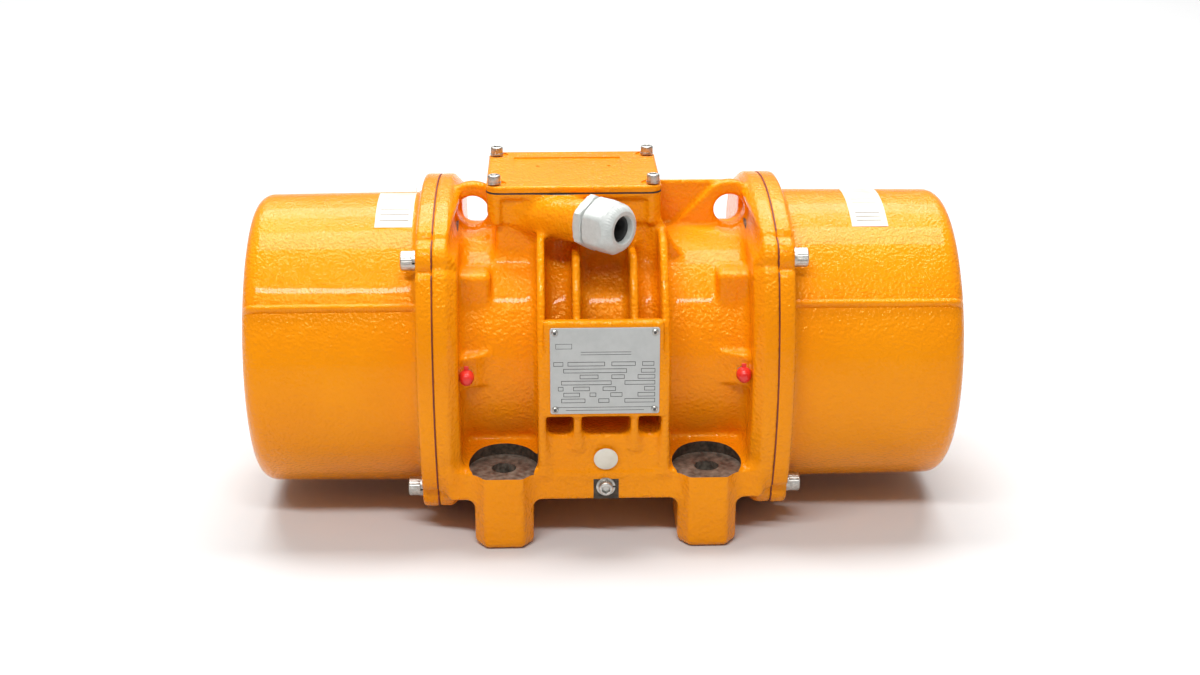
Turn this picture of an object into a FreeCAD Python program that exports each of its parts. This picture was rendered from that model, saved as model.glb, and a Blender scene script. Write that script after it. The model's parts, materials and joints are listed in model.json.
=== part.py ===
import FreeCAD, Part
import math
import os
from types import SimpleNamespace

import Sketcher
from FreeCAD import Placement, Rotation, Vector

# A three-phase vibration motor on four feet: a rotor with eccentric weights on both shaft ends, in a
# cast housing with a terminal box on top and a closed cap over the weights at each end.
# Frame: X along the shaft, Z up, origin on the mounting plane at the centre of the four foot holes.

SIZES = {
    # feet and base
    "foot_pitch_x": 140,
    "foot_pitch_y": 190,
    "foot_hole_radius": 8.5,
    "foot_half_width": 20.3,
    "foot_facet_half": 13,
    "foot_front": 115,
    "foot_shoulder": 105,
    "foot_back": 58,
    "foot_height": 53,
    "foot_chamfer": 5,
    "spot_face_radius": 24,
    "spot_face_top": 76,
    "base_bottom": 33,
    "base_half_length": 104,
    "base_front": 105,
    "base_edge_y": 86,
    "base_edge_z": 72,
    "base_ledge_y": 70,
    "foot_hole_overrun": 5,
    # barrel and flanges
    "axis_height": 117,
    "barrel_radius": 83,
    "bore_radius": 71,
    "split": 115.5,
    "flange_inner": 99,
    "flange_slope": 7,
    "flange_half": 117,
    "flange_half_z": 114,
    "flange_corner": 14,
    "spigot_radius": 88,
    "spigot_step": 101,
    "tap_depth": 13,
    # rib cage round the middle of the barrel
    "rib_radius": 115,
    "rib_thickness": 5.6,
    "rib_inner_x": 19.3,
    "rib_left_x": 43.2,
    "rib_right_x": 40,
    "waist_half": 42,
    "waist_top": 85,
    "waist_front": 109,
    "plate_pad_y": 115,
    "plate_pad_depth": 8.5,
    "plate_pad_left": 41.6,
    "plate_pad_right": 38.4,
    "plate_pad_low": 98,
    "plate_pad_high": 166,
    # terminal box
    "box_centre_x": -20,
    "box_half_x": 60,
    "box_half_y": 50,
    "box_corner": 9,
    "box_bottom": 213,
    "box_top": 235.5,
    "box_floor": 204,
    "box_wall": 5,
    "box_screw_x": 54.4,
    "box_screw_y": 40.5,
    "neck_inset": 6,
    "neck_root": 157,
    "panel_side": 14,
    "panel_low": 3.5,
    "panel_high": 2.5,
    "panel_depth": 2,
    "panel_corner": 3,
    "screw_post": 9,
    "passage_radius": 9,
    "cover_tap_radius": 2.6,
    "cover_tap_depth": 18,
    "gasket_thickness": 1,
    "gasket_width": 9,
    "cover_thickness": 4.5,
    "cover_hole_radius": 3,
    "cover_panel_left": 18,
    "cover_panel_right": 25.5,
    "cover_panel_front": 21,
    "cover_panel_back": 32,
    "cover_panel_depth": 0.8,
    "cover_screw_radius": 2.55,
    "cover_screw_length": 22,
    "cover_screw_head": 4.4,
    "cover_head_height": 5,
    "cover_washer_thickness": 1.2,
    # terminals
    "board_half_x": 32,
    "board_half_y": 20,
    "board_bar": 20,
    "board_bridge": 9,
    "board_height": 9,
    "stud_x": 22,
    "stud_pitch": 14,
    "stud_radius": 2.5,
    "stud_length": 17,
    "stud_seat": 3,
    "stud_nut": 8,
    "stud_nut_height": 4,
    # cable gland
    "gland_x": -17.5,
    "gland_y": -72.5,
    "gland_z": 219.5,
    "gland_turn": -33,
    "gland_boss_radius": 15.8,
    "gland_bore_radius": 12.5,
    "gland_boss_root": 56,
    "gland_hole_radius": 9,
    "gland_shank": 12,
    "gland_bore_depth": 15,
    "gland_hex": 33,
    "gland_hex_height": 8,
    "gland_collar": 14.5,
    "gland_collar_end": 26,
    "gland_mouth": 11,
    "gland_spot_length": 34,
    "nut_start": 9.2,
    "nut_length": 26,
    "nut_hex_end": 22,
    "nut_shoulder_s": 30,
    "nut_shoulder_r": 17,
    "nut_tip_r": 11.5,
    "seal_start": 12,
    "seal_end": 30,
    "cable_radius": 7,
    # lifting eyes and webs
    "eye_x": 91,
    "eye_z": 211,
    "eye_hole_radius": 11,
    "eye_scoop_radius": 12.5,
    "eye_radius": 21,
    "eye_thickness": 12,
    "eye_foot_top": 199.5,
    "eye_foot_wide": 26,
    "eye_edge_low": 198.4,
    "web_thickness": 8,
    "web_top": 232,
    # bosses beside the flanges
    "lug_inner": 77,
    "lug_outer": 101,
    "lug_low": 168,
    "lug_high": 195,
    "lug_front": 100,
    "lug_length": 45,
    "lug_corner": 5,
    # wedges that carry the grease nipples
    "wedge_low": 116,
    "wedge_height": 28,
    "wedge_front": 106,
    "wedge_nose": 90,
    "wedge_heel": 72,
    "wedge_heel_y": 82,
    "wedge_root_y": 60,
    # cap flange, cap and its screws
    "cap_flange_thickness": 11,
    "cap_radius": 104.2,
    "cap_end_radius": 103.2,
    "cap_wall": 3.2,
    "cap_end": 245,
    "cap_edge": 18,
    "cap_line_angle": 30,
    "cap_line_width": 5.5,
    "cap_line_height": 2.6,
    "seal_in": 103,
    "seal_out": 107,
    "seal_depth": 2,
    "cap_screw_circle": 116.45,
    "cap_screw_radius": 4,
    "cap_screw_head": 6.5,
    "cap_screw_length": 24,
    "cap_head_height": 8,
    "washer_thickness": 2.2,
    # bearing flange and bearing
    "bearing_flange_out": 115,
    "hub_radius": 62,
    "hub_in": 86,
    "hub_out": 120,
    "bearing_in": 90,
    "bearing_out": 115,
    "bearing_radius": 50,
    "clip_out": 117,
    "race_out_radius": 43.25,
    "race_in_radius": 29.25,
    "roller_radius": 6.95,
    "roller_circle": 36.25,
    "roller_length": 20,
    "flange_screw_circle": 77,
    "flange_screw_radius": 3,
    "flange_screw_length": 26,
    "flange_screw_head": 5,
    "flange_head_height": 5.5,
    "flange_tap_depth": 14,
    "clip_inset": 3,
    "clip_groove": 2.5,
    "cage_half_thickness": 3,
    "cage_rim": 1.8,
    # rotor
    "journal_radius": 22.5,
    "shaft_radius": 26,
    "stub_radius": 20,
    "stub_end": 192,
    "core_half": 60,
    "rotor_radius": 44,
    "air_gap": 0.6,
    "winding_end": 81,
    "winding_bevel": 6,
    "winding_in": 4,
    "winding_out": 5,
    "end_ring_length": 9,
    "end_ring_in": 11,
    "end_ring_out": 2,
    "spacer_wall": 8,
    # eccentric weights
    "weight_in": 124,
    "weight_thickness": 28,
    "weight_gap": 1,
    "weight_radius": 92,
    "weight_hub": 34,
    "clamp_half": 18,
    "clamp_top": 40,
    "clamp_slit": 3,
    "clamp_root": 3,
    "clamp_screw_height": 31,
    "clamp_screw_radius": 4,
    "clamp_screw_length": 44,
    "clamp_screw_head": 6.5,
    "clamp_head_height": 8,
    "clamp_nut": 13,
    "clamp_nut_height": 6.5,
    "clip_width": 2.2,
    "clip_depth": 1.5,
    "clip_rim": 4,
    "key_width": 12,
    "key_half_height": 4,
    # nameplate
    "plate_left": 37.5,
    "plate_right": 35.5,
    "plate_low": 101,
    "plate_high": 162,
    "plate_thickness": 0.8,
    "plate_corner": 1.5,
    "rivet_inset": 3.2,
    "rivet_radius": 2.2,
    "rivet_height": 1.2,
    # earth screw
    "earth_screw_radius": 3,
    "earth_screw_head": 5,
    "earth_head_height": 5,
    "earth_washer_radius": 6.5,
    "earth_washer_thickness": 1.4,
    # grease nipples
    "nipple_x": 94,
    "nipple_y": 106,
    "nipple_z": 124,
    "nipple_hex_radius": 4.6,
    "nipple_hex_height": 4,
    "nipple_stem_radius": 3,
    "nipple_length": 9,
    "nipple_cap_radius": 5.2,
    "nipple_cap_neck": 4.8,
    "nipple_cap_bend": 11,
    "nipple_cap_tip": 3.6,
    "nipple_cap_end": 13,
    # play between pieces that fit together
    "fit": 0.05,
}


class Size:
    """A number that carries the spreadsheet formula it comes from."""

    def __init__(self, value, formula):
        self.value = float(value)
        self.formula = formula

    def __add__(self, other):
        other = sized(other)
        return Size(self.value + other.value, f"({self.formula} + {other.formula})")

    def __sub__(self, other):
        other = sized(other)
        return Size(self.value - other.value, f"({self.formula} - {other.formula})")

    def __mul__(self, other):
        other = sized(other)
        return Size(self.value * other.value, f"({self.formula} * {other.formula})")

    def __truediv__(self, other):
        other = sized(other)
        return Size(self.value / other.value, f"({self.formula} / {other.formula})")

    def __radd__(self, other):
        return sized(other) + self

    def __rsub__(self, other):
        return sized(other) - self

    def __rmul__(self, other):
        return sized(other) * self

    def __neg__(self):
        return self * -1


def sized(thing):
    return thing if isinstance(thing, Size) else Size(thing, f"({float(thing)})")


doc = FreeCAD.newDocument("VibrationMotor")
sheet = doc.addObject("Spreadsheet::Sheet", "Sizes")
for row, (alias, number) in enumerate(SIZES.items(), start=1):
    sheet.set(f"A{row}", alias)
    sheet.set(f"B{row}", str(number))
    sheet.setAlias(f"B{row}", alias)
doc.recompute()
d = SimpleNamespace(**{alias: Size(number, f"Sizes.{alias}") for alias, number in SIZES.items()})
bodies = []

COS45 = math.sqrt(0.5)
COS30 = math.cos(math.radians(30))
COS10 = math.cos(math.radians(10))
SIN10 = math.sin(math.radians(10))
QUARTERS = [(1, 1), (-1, 1), (-1, -1), (1, -1)]
SIDES = [("left", -1), ("right", 1)]
ROLLERS = 12


# ---------------------------------------------------------------- sketches and features


def bind(thing, name, value):
    """Ties one property or constraint to the spreadsheet; a plain number is left as it is."""
    value = sized(value)
    if "Sizes." in value.formula:
        thing.setExpression(name, value.formula)


def new_body(label, x=0, y=0, z=0, turn=0):
    body = doc.addObject("PartDesign::Body", label)
    body.Label = label
    body.AllowCompound = True
    place = Vector(sized(x).value, sized(y).value, sized(z).value)
    body.Placement = Placement(place, Rotation(Vector(0, 0, 1), sized(turn).value))
    bind(body, "Placement.Base.x", x)
    bind(body, "Placement.Base.y", y)
    bind(body, "Placement.Base.z", z)
    bodies.append(body)
    return body


def new_sketch(body, plane_role, offset=0):
    plane = next(f for f in body.Origin.OriginFeatures if f.Role == plane_role)
    sketch = body.newObject("Sketcher::SketchObject", "Sketch")
    sketch.AttachmentSupport = (plane, [""])
    sketch.MapMode = "FlatFace"
    sketch.AttachmentOffset = Placement(Vector(0, 0, sized(offset).value), Rotation())
    bind(sketch, "AttachmentOffset.Base.z", offset)
    return sketch


def hold(sketch, geometry, position, u, v):
    """Fixes one sketch point with two dimensions from the origin."""
    for kind, value in (("DistanceX", sized(u)), ("DistanceY", sized(v))):
        index = sketch.addConstraint(
            Sketcher.Constraint(kind, -1, 1, geometry, position, value.value)
        )
        bind(sketch, f"Constraints[{index}]", value)


def loop(sketch, corners):
    """Closed outline. A corner (u, v) is reached by a line and (u, v, via_u, via_v) by an arc."""
    ends = []
    start = corners[-1]
    for corner in corners:
        a = Vector(sized(start[0]).value, sized(start[1]).value)
        b = Vector(sized(corner[0]).value, sized(corner[1]).value)
        if len(corner) == 2:
            index = sketch.addGeometry(Part.LineSegment(a, b))
            ends.append((index, 1, 2))
        else:
            via = Vector(sized(corner[2]).value, sized(corner[3]).value)
            turns_left = (via - a).cross(b - via).z > 0
            arc = Part.Arc(a, via, b) if turns_left else Part.Arc(b, via, a)
            index = sketch.addGeometry(arc)
            ends.append((index, 1, 2) if turns_left else (index, 2, 1))
            point = sketch.addGeometry(Part.Point(via), True)
            sketch.addConstraint(Sketcher.Constraint("PointOnObject", point, 1, index))
            hold(sketch, point, 1, corner[2], corner[3])
        start = corner
    for number, (index, first, last) in enumerate(ends):
        following = ends[(number + 1) % len(ends)]
        sketch.addConstraint(
            Sketcher.Constraint("Coincident", index, last, following[0], following[1])
        )
        hold(sketch, index, last, corners[number][0], corners[number][1])
    return sketch


def ring(sketch, u, v, radius):
    centre = Vector(sized(u).value, sized(v).value)
    index = sketch.addGeometry(Part.Circle(centre, Vector(0, 0, 1), sized(radius).value))
    hold(sketch, index, 3, u, v)
    number = sketch.addConstraint(Sketcher.Constraint("Radius", index, sized(radius).value))
    bind(sketch, f"Constraints[{number}]", radius)
    return sketch


def box_corners(u0, u1, v0, v1):
    return [(u0, v0), (u1, v0), (u1, v1), (u0, v1)]


def rounded_corners(u0, u1, v0, v1, radius):
    """Corners of a rectangle with rounded corners, as lines and arcs."""
    bend = radius * (1 - COS45)
    return [
        (u1 - radius, v0),
        (u1, v0 + radius, u1 - bend, v0 + bend),
        (u1, v1 - radius),
        (u1 - radius, v1, u1 - bend, v1 - bend),
        (u0 + radius, v1),
        (u0, v1 - radius, u0 + bend, v1 - bend),
        (u0, v0 + radius),
        (u0 + radius, v0, u0 + bend, v0 + bend),
    ]


def hexagon_corners(u, v, across_flats):
    """Corners of a hexagon with two flats upright."""
    half = across_flats / 2
    reach = across_flats / math.sqrt(3)
    return [
        (u, v - reach),
        (u + half, v - reach / 2),
        (u + half, v + reach / 2),
        (u, v + reach),
        (u - half, v + reach / 2),
        (u - half, v - reach / 2),
    ]


def extrude(kind, sketch, length, back=False, both=False):
    body = sketch.getParentGeoFeatureGroup()
    feature = body.newObject(f"PartDesign::{kind}", kind)
    feature.Profile = sketch
    feature.Length = sized(length).value
    bind(feature, "Length", length)
    feature.Reversed = back
    feature.SideType = "Symmetric" if both else "One side"
    return feature


def pad(sketch, length, back=False, both=False):
    return extrude("Pad", sketch, length, back, both)


def pocket(sketch, length, back=False, both=False):
    return extrude("Pocket", sketch, length, back, both)


def turn(kind, sketch):
    """Revolution or Groove all the way round the sketch's horizontal axis."""
    body = sketch.getParentGeoFeatureGroup()
    feature = body.newObject(f"PartDesign::{kind}", kind)
    feature.Profile = sketch
    feature.ReferenceAxis = (sketch, ["H_Axis"])
    feature.Angle = 360
    return feature


def turned_body(label, profile, x=0, y=0, z=None, swing=0):
    """A body of revolution about its own X axis, from a half profile of (x, radius) corners."""
    body = new_body(label, x, y, d.axis_height if z is None else z, swing)
    turn("Revolution", loop(new_sketch(body, "XZ_Plane"), profile))
    return body


def soften(kind, body, size, wanted):
    """Fillet or Chamfer on the edges of the body's tip that pass the test."""
    doc.recompute()
    base = body.Tip
    names = [f"Edge{n}" for n, edge in enumerate(base.Shape.Edges, start=1) if wanted(edge)]
    feature = body.newObject(f"PartDesign::{kind}", kind)
    feature.Base = (base, names)
    prop = "Radius" if kind == "Fillet" else "Size"
    setattr(feature, prop, sized(size).value)
    bind(feature, prop, size)
    return feature


def mirrored(profile, side):
    """The same profile on the left or right: its first coordinate and arc points change sign."""
    if side > 0:
        return profile
    return [
        (-corner[0], corner[1]) if len(corner) == 2
        else (-corner[0], corner[1], -corner[2], corner[3])
        for corner in profile
    ]


def side_arc(half):
    """Ends and middle of one flange side: an arc tangent to the round corners about the screws."""
    lug = d.cap_screw_circle * COS45
    reach = half - d.flange_corner
    beyond = (2 * lug * lug - reach * reach) / (2 * (reach - lug))
    ratio = (half + beyond) / (reach + beyond)
    return ratio * (lug + beyond) - beyond, ratio * lug


def flange_corners(z=0):
    """Bulged square flange outline about the point (0, z), a little lower than it is wide."""
    side_u, side_v = side_arc(d.flange_half)
    top_v, top_u = side_arc(d.flange_half_z)
    wide = d.flange_half
    high = d.flange_half_z
    tip = d.cap_screw_circle * COS45 + d.flange_corner * COS45
    return [
        (side_u, z + side_v, wide, z),
        (top_u, z + top_v, tip, z + tip),
        (-top_u, z + top_v, 0, z + high),
        (-side_u, z + side_v, -tip, z + tip),
        (-side_u, z - side_v, -wide, z),
        (-top_u, z - top_v, -tip, z - tip),
        (top_u, z - top_v, 0, z - high),
        (side_u, z - side_v, tip, z - tip),
    ]


# ---------------------------------------------------------------- housing casting


def housing_barrel(body):
    barrel = ring(new_sketch(body, "YZ_Plane"), 0, d.axis_height, d.barrel_radius)
    pad(barrel, d.split * 2, both=True)
    for side in (-1, 1):
        outline = flange_corners(d.axis_height)
        sketch = loop(new_sketch(body, "YZ_Plane", d.split * side), outline)
        pad(sketch, d.split - d.flange_inner, back=side > 0)

    def inner_outline(edge):
        box = edge.BoundBox
        flat = box.XLength < 0.01 and abs(abs(box.XMin) - d.flange_inner.value) < 0.01
        middle = edge.valueAt((edge.FirstParameter + edge.LastParameter) / 2)
        return flat and math.hypot(middle.y, middle.z - d.axis_height.value) > 100

    soften("Chamfer", body, d.flange_slope, inner_outline)


def housing_base(body):
    """Base under the barrel, as one section along the motor, and its higher waist in the middle."""
    half = [
        (d.base_front, d.base_bottom),
        (d.base_front, d.foot_height),
        (d.base_edge_y, d.base_edge_z),
        (d.base_ledge_y, d.spot_face_top),
    ]
    section = half + [(-y, z) for y, z in reversed(half)]
    pad(loop(new_sketch(body, "YZ_Plane"), section), d.base_half_length * 2, both=True)
    waist = [
        (d.base_front, d.foot_height - 1),
        (d.waist_front, d.waist_top),
        (-d.waist_front, d.waist_top),
        (-d.base_front, d.foot_height - 1),
    ]
    pad(loop(new_sketch(body, "YZ_Plane"), waist), d.waist_half * 2, both=True)


def housing_feet(body):
    sketch = new_sketch(body, "XY_Plane")
    for sx, sy in QUARTERS:
        centre = d.foot_pitch_x / 2 * sx
        foot = [
            (centre - d.foot_half_width, d.foot_back * sy),
            (centre - d.foot_half_width, d.foot_shoulder * sy),
            (centre - d.foot_facet_half, d.foot_front * sy),
            (centre + d.foot_facet_half, d.foot_front * sy),
            (centre + d.foot_half_width, d.foot_shoulder * sy),
            (centre + d.foot_half_width, d.foot_back * sy),
        ]
        loop(sketch, foot)
    pad(sketch, d.foot_height)

    def outer_sole(edge):
        box = edge.BoundBox
        reach = max(abs(box.YMin), abs(box.YMax))
        return box.ZMax < 0.01 and reach > d.foot_shoulder.value - 1

    soften("Chamfer", body, d.foot_chamfer, outer_sole)
    spots = new_sketch(body, "XY_Plane", d.foot_height)
    holes = new_sketch(body, "XY_Plane")
    for sx, sy in QUARTERS:
        x = d.foot_pitch_x / 2 * sx
        y = d.foot_pitch_y / 2 * sy
        ring(spots, x, y, d.spot_face_radius)
        ring(holes, x, y, d.foot_hole_radius)
    pocket(spots, d.spot_face_top - d.foot_height + 1, back=True)
    pocket(holes, d.foot_height + d.foot_hole_overrun, back=True)


def rib_outline(side, low_y, low_z):
    """One rib seen along the shaft: up the front, round its arc and into the terminal box."""
    r = d.rib_radius.value
    drop = SIZES["axis_height"] - SIZES["plate_pad_low"]
    shoulder = math.sqrt(r * r - drop * drop)
    crown = math.sqrt(r * r - SIZES["box_half_y"] ** 2 * 0.81)
    middle = r * COS45
    front = [
        (d.base_ledge_y - 10, low_z),
        (low_y, low_z),
        (shoulder, d.plate_pad_low),
        (d.box_half_y * 0.9, d.axis_height + crown, middle, d.axis_height + middle),
        (d.box_half_y * 0.9, d.axis_height + 60),
    ]
    return mirrored(front, side)


def housing_ribs(body):
    outer = [d.rib_right_x, -d.rib_left_x]
    inner = [d.rib_inner_x, -d.rib_inner_x]
    for x in outer + inner:
        deep = x in outer
        low_y = d.base_front + 0.5 if deep else d.base_front + 1
        low_z = d.foot_height if deep else d.base_edge_z
        sketch = new_sketch(body, "YZ_Plane", x - d.rib_thickness / 2)
        for side in (-1, 1):
            loop(sketch, rib_outline(side, low_y, low_z))
        pad(sketch, d.rib_thickness)
    plate = rounded_corners(
        -d.plate_pad_left, d.plate_pad_right, d.plate_pad_low, d.plate_pad_high, 2
    )
    pad(loop(new_sketch(body, "XZ_Plane", d.plate_pad_y), plate), d.plate_pad_depth, back=True)


def housing_box(body):
    x0 = d.box_centre_x - d.box_half_x
    x1 = d.box_centre_x + d.box_half_x
    outer = rounded_corners(x0, x1, -d.box_half_y, d.box_half_y, d.box_corner)
    pad(loop(new_sketch(body, "XY_Plane", d.box_bottom), outer), d.box_top - d.box_bottom)
    inset = d.neck_inset
    neck = box_corners(x0 + inset, x1 - inset, inset - d.box_half_y, d.box_half_y - inset)
    pad(loop(new_sketch(body, "XY_Plane", d.neck_root), neck), d.box_bottom - d.neck_root + 1)
    low = d.box_bottom + d.panel_low
    high = d.box_top - d.panel_high
    panel = rounded_corners(x0 + d.panel_side, x1 - d.panel_side, low, high, d.panel_corner)
    for side in (-1, 1):
        sketch = loop(new_sketch(body, "XZ_Plane", d.box_half_y * side), panel)
        pocket(sketch, d.panel_depth, back=side < 0)


def housing_cavity(body):
    """Inside of the terminal box, with a post for each cover screw and the way down for the leads."""
    x0 = d.box_centre_x - d.box_half_x + d.box_wall
    x1 = d.box_centre_x + d.box_half_x - d.box_wall
    y = d.box_half_y - d.box_wall - 1
    post_x = x1 - d.screw_post
    post_y = y - d.screw_post - 3
    half = [(post_x, y), (post_x, post_y), (x1, post_y), (x1, -post_y), (post_x, -post_y), (post_x, -y)]
    other = [(x0 + x1 - u, v) for u, v in reversed(half)]
    pocket(loop(new_sketch(body, "XY_Plane", d.box_top), half + other), d.box_top - d.box_floor)
    passage = ring(new_sketch(body, "XY_Plane", d.box_floor + 1), d.box_centre_x, 0, d.passage_radius)
    pocket(passage, d.box_floor - d.axis_height - d.bore_radius + 24)
    screws = new_sketch(body, "XY_Plane", d.box_top)
    for x, y in cover_screw_places():
        ring(screws, x, y, d.cover_tap_radius)
    pocket(screws, d.cover_tap_depth)


def tilted_sketch(body):
    """Sketch in the level plane of the gland's axis, with its own X axis along the gland."""
    sketch = new_sketch(body, "XY_Plane")
    place = Vector(d.gland_x.value, d.gland_y.value, d.gland_z.value)
    swing = Rotation(Vector(0, 0, 1), d.gland_turn.value)
    sketch.AttachmentOffset = Placement(place, swing)
    bind(sketch, "AttachmentOffset.Base.x", d.gland_x)
    bind(sketch, "AttachmentOffset.Base.y", d.gland_y)
    bind(sketch, "AttachmentOffset.Base.z", d.gland_z)
    return sketch


def housing_gland_boss(body):
    horn = box_corners(-d.gland_boss_root, 0, 0, d.gland_boss_radius)
    turn("Revolution", loop(tilted_sketch(body), horn))


def housing_gland_bore(body):
    """Hole for the gland's shank, and clear room round its hexagon."""
    r = d.gland_bore_radius
    small = d.gland_hole_radius
    seat = d.gland_hex / math.sqrt(3) + 1.5
    root = -d.gland_boss_root - 4
    depth = -d.gland_bore_depth
    end = d.gland_spot_length
    bore = [(root, 0), (root, small), (depth, small), (depth, r), (0, r), (0, seat), (end, seat), (end, 0)]
    turn("Groove", loop(tilted_sketch(body), bore))


def housing_eyes(body):
    """Lifting eyes on spread feet, the web beside the box, and the way through the flanges for a pin."""
    edge = d.flange_inner - 1
    reach = edge.value - SIZES["eye_x"]
    rise = math.sqrt(SIZES["eye_scoop_radius"] ** 2 - reach * reach)
    scoop = [
        (edge, d.eye_z - rise),
        (edge, d.eye_z + rise, d.eye_x + d.eye_scoop_radius, d.eye_z),
    ]
    scoops = new_sketch(body, "XZ_Plane")
    for side in (-1, 1):
        loop(scoops, mirrored(scoop, side))
    pocket(scoops, d.flange_half * 2 + 2, both=True)
    x1 = d.box_centre_x + d.box_half_x
    near = d.eye_x - d.eye_hole_radius
    far = d.flange_inner + 1
    wide = d.eye_foot_wide
    left_foot = box_corners(-far, -near - 0.5, -wide, wide)
    right_foot = [(x1 + 8, -4), (far, -wide), (far, wide), (x1 + 8, 4)]
    sketch = new_sketch(body, "XY_Plane", d.eye_foot_top)
    loop(sketch, left_foot)
    loop(sketch, right_foot)
    pad(sketch, 20, back=True)
    r = d.eye_radius
    low = d.axis_height + 60
    left_eye = [
        (-d.eye_x - r, low),
        (-d.eye_x + r, low),
        (-d.eye_x + r, d.eye_z),
        (-d.eye_x - r, d.eye_z, -d.eye_x, d.eye_z + r),
    ]
    top_x = d.eye_x - r * COS45
    top_z = d.eye_z + r * COS45
    foot_x = top_x - top_z + d.eye_edge_low
    right_eye = [
        (foot_x, low),
        (d.eye_x + r, low),
        (d.eye_x + r, d.eye_z),
        (top_x, top_z, d.eye_x, d.eye_z + r),
        (foot_x, d.eye_edge_low),
    ]
    for eye in (left_eye, right_eye):
        pad(loop(new_sketch(body, "XZ_Plane"), eye), d.eye_thickness, both=True)
    web = box_corners(x1 - 8, d.eye_x, low, d.web_top)
    pad(loop(new_sketch(body, "XZ_Plane"), web), d.web_thickness, both=True)
    holes = new_sketch(body, "XZ_Plane")
    for side in (-1, 1):
        ring(holes, d.eye_x * side, d.eye_z, d.eye_hole_radius)
    pocket(holes, d.eye_thickness, both=True)
    gusset = [
        (x1 - d.neck_inset, d.box_bottom + 1),
        (x1, d.box_bottom + 1),
        (x1 + 14, d.box_bottom - 23),
        (x1 - d.neck_inset, d.box_bottom - 23),
    ]
    pad(loop(new_sketch(body, "XZ_Plane", d.box_half_y - d.neck_inset), gusset), 8, back=True)


def housing_lugs(body):
    """Bosses beside the flanges and the wedge lugs that carry the grease nipples."""
    wedge = [
        (d.lug_outer, -d.wedge_root_y),
        (d.lug_outer, -d.wedge_front),
        (d.wedge_nose, -d.wedge_front),
        (d.wedge_heel, -d.wedge_heel_y),
        (d.wedge_heel, -d.wedge_root_y),
    ]
    for side in (-1, 1):
        block = rounded_corners(d.lug_inner, d.lug_outer, d.lug_low, d.lug_high, d.lug_corner)
        for face in (-1, 1):
            sketch = new_sketch(body, "XZ_Plane", d.lug_front * face)
            loop(sketch, mirrored(block, side))
            pad(sketch, d.lug_length, back=face > 0)
        sketch = loop(new_sketch(body, "XY_Plane", d.wedge_low), mirrored(wedge, side))
        pad(sketch, d.wedge_height)


def housing_bores(body):
    bore = ring(new_sketch(body, "YZ_Plane"), 0, d.axis_height, d.bore_radius)
    pocket(bore, d.split * 2 + 2, both=True)
    lug = d.cap_screw_circle * COS45
    for side in (-1, 1):
        spigot = ring(
            new_sketch(body, "YZ_Plane", d.split * side), 0, d.axis_height, d.spigot_radius
        )
        pocket(spigot, d.split - d.spigot_step, back=side < 0)
        taps = new_sketch(body, "YZ_Plane", d.split * side)
        for sy, sz in QUARTERS:
            ring(taps, lug * sy, d.axis_height + lug * sz, d.cap_screw_radius)
        pocket(taps, d.tap_depth, back=side < 0)
        taps = new_sketch(body, "YZ_Plane", d.spigot_step * side)
        for y, z in flange_screw_places():
            ring(taps, y, d.axis_height + z, d.flange_screw_radius)
        pocket(taps, d.flange_tap_depth, back=side < 0)


def flange_screw_places():
    """Six screws round the bearing flange, two of them level with the shaft."""
    turns = [math.radians(60 * n) for n in range(6)]
    return [(d.flange_screw_circle * math.cos(a), d.flange_screw_circle * math.sin(a)) for a in turns]


def stator_housing():
    body = new_body("stator_housing")
    housing_barrel(body)
    housing_base(body)
    housing_feet(body)
    housing_ribs(body)
    housing_box(body)
    housing_gland_boss(body)
    housing_eyes(body)
    housing_lugs(body)
    housing_cavity(body)
    housing_gland_bore(body)
    housing_bores(body)


# ---------------------------------------------------------------- caps and their fixings


def end_cap(name, side):
    """Cast cup with a flange like the housing's, closed at the far end, with a cast line each side."""
    body = new_body(f"{name}_end_cap", 0, 0, d.axis_height)
    flange_end = d.split + d.cap_flange_thickness
    sketch = loop(new_sketch(body, "YZ_Plane", d.split * side), flange_corners())
    pad(sketch, d.cap_flange_thickness, back=side < 0)
    bend = d.cap_edge * (1 - COS45)
    inner = d.cap_end_radius - d.cap_wall
    far = d.cap_end - d.cap_wall
    inner_edge = d.cap_edge - d.cap_wall
    inner_bend = inner_edge * (1 - COS45)
    shell = [
        (flange_end - 1, d.cap_radius - d.cap_wall),
        (flange_end - 1, d.cap_radius),
        (d.cap_end - d.cap_edge, d.cap_end_radius),
        (d.cap_end, d.cap_end_radius - d.cap_edge, d.cap_end - bend, d.cap_end_radius - bend),
        (d.cap_end, 0),
        (far, 0),
        (far, inner - inner_edge),
        (far - inner_bend, inner - inner_bend),
        (far - inner_edge, inner),
    ]
    turn("Revolution", loop(new_sketch(body, "XZ_Plane"), mirrored(shell, side)))
    rim = [
        (d.split, 0),
        (d.split, d.cap_radius - d.cap_wall),
        (flange_end, d.cap_radius - d.cap_wall),
        (flange_end, 0),
    ]
    turn("Groove", loop(new_sketch(body, "XZ_Plane"), mirrored(rim, side)))
    groove = box_corners(d.split, d.split + d.seal_depth, d.seal_in, d.seal_out)
    turn("Groove", loop(new_sketch(body, "XZ_Plane"), mirrored(groove, side)))
    cap_lines(body, side)
    holes = new_sketch(body, "YZ_Plane", d.split * side)
    for y, z in cap_screw_places():
        ring(holes, y, z, d.cap_screw_radius + 0.5)
    pocket(holes, d.cap_flange_thickness, back=side > 0)


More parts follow.
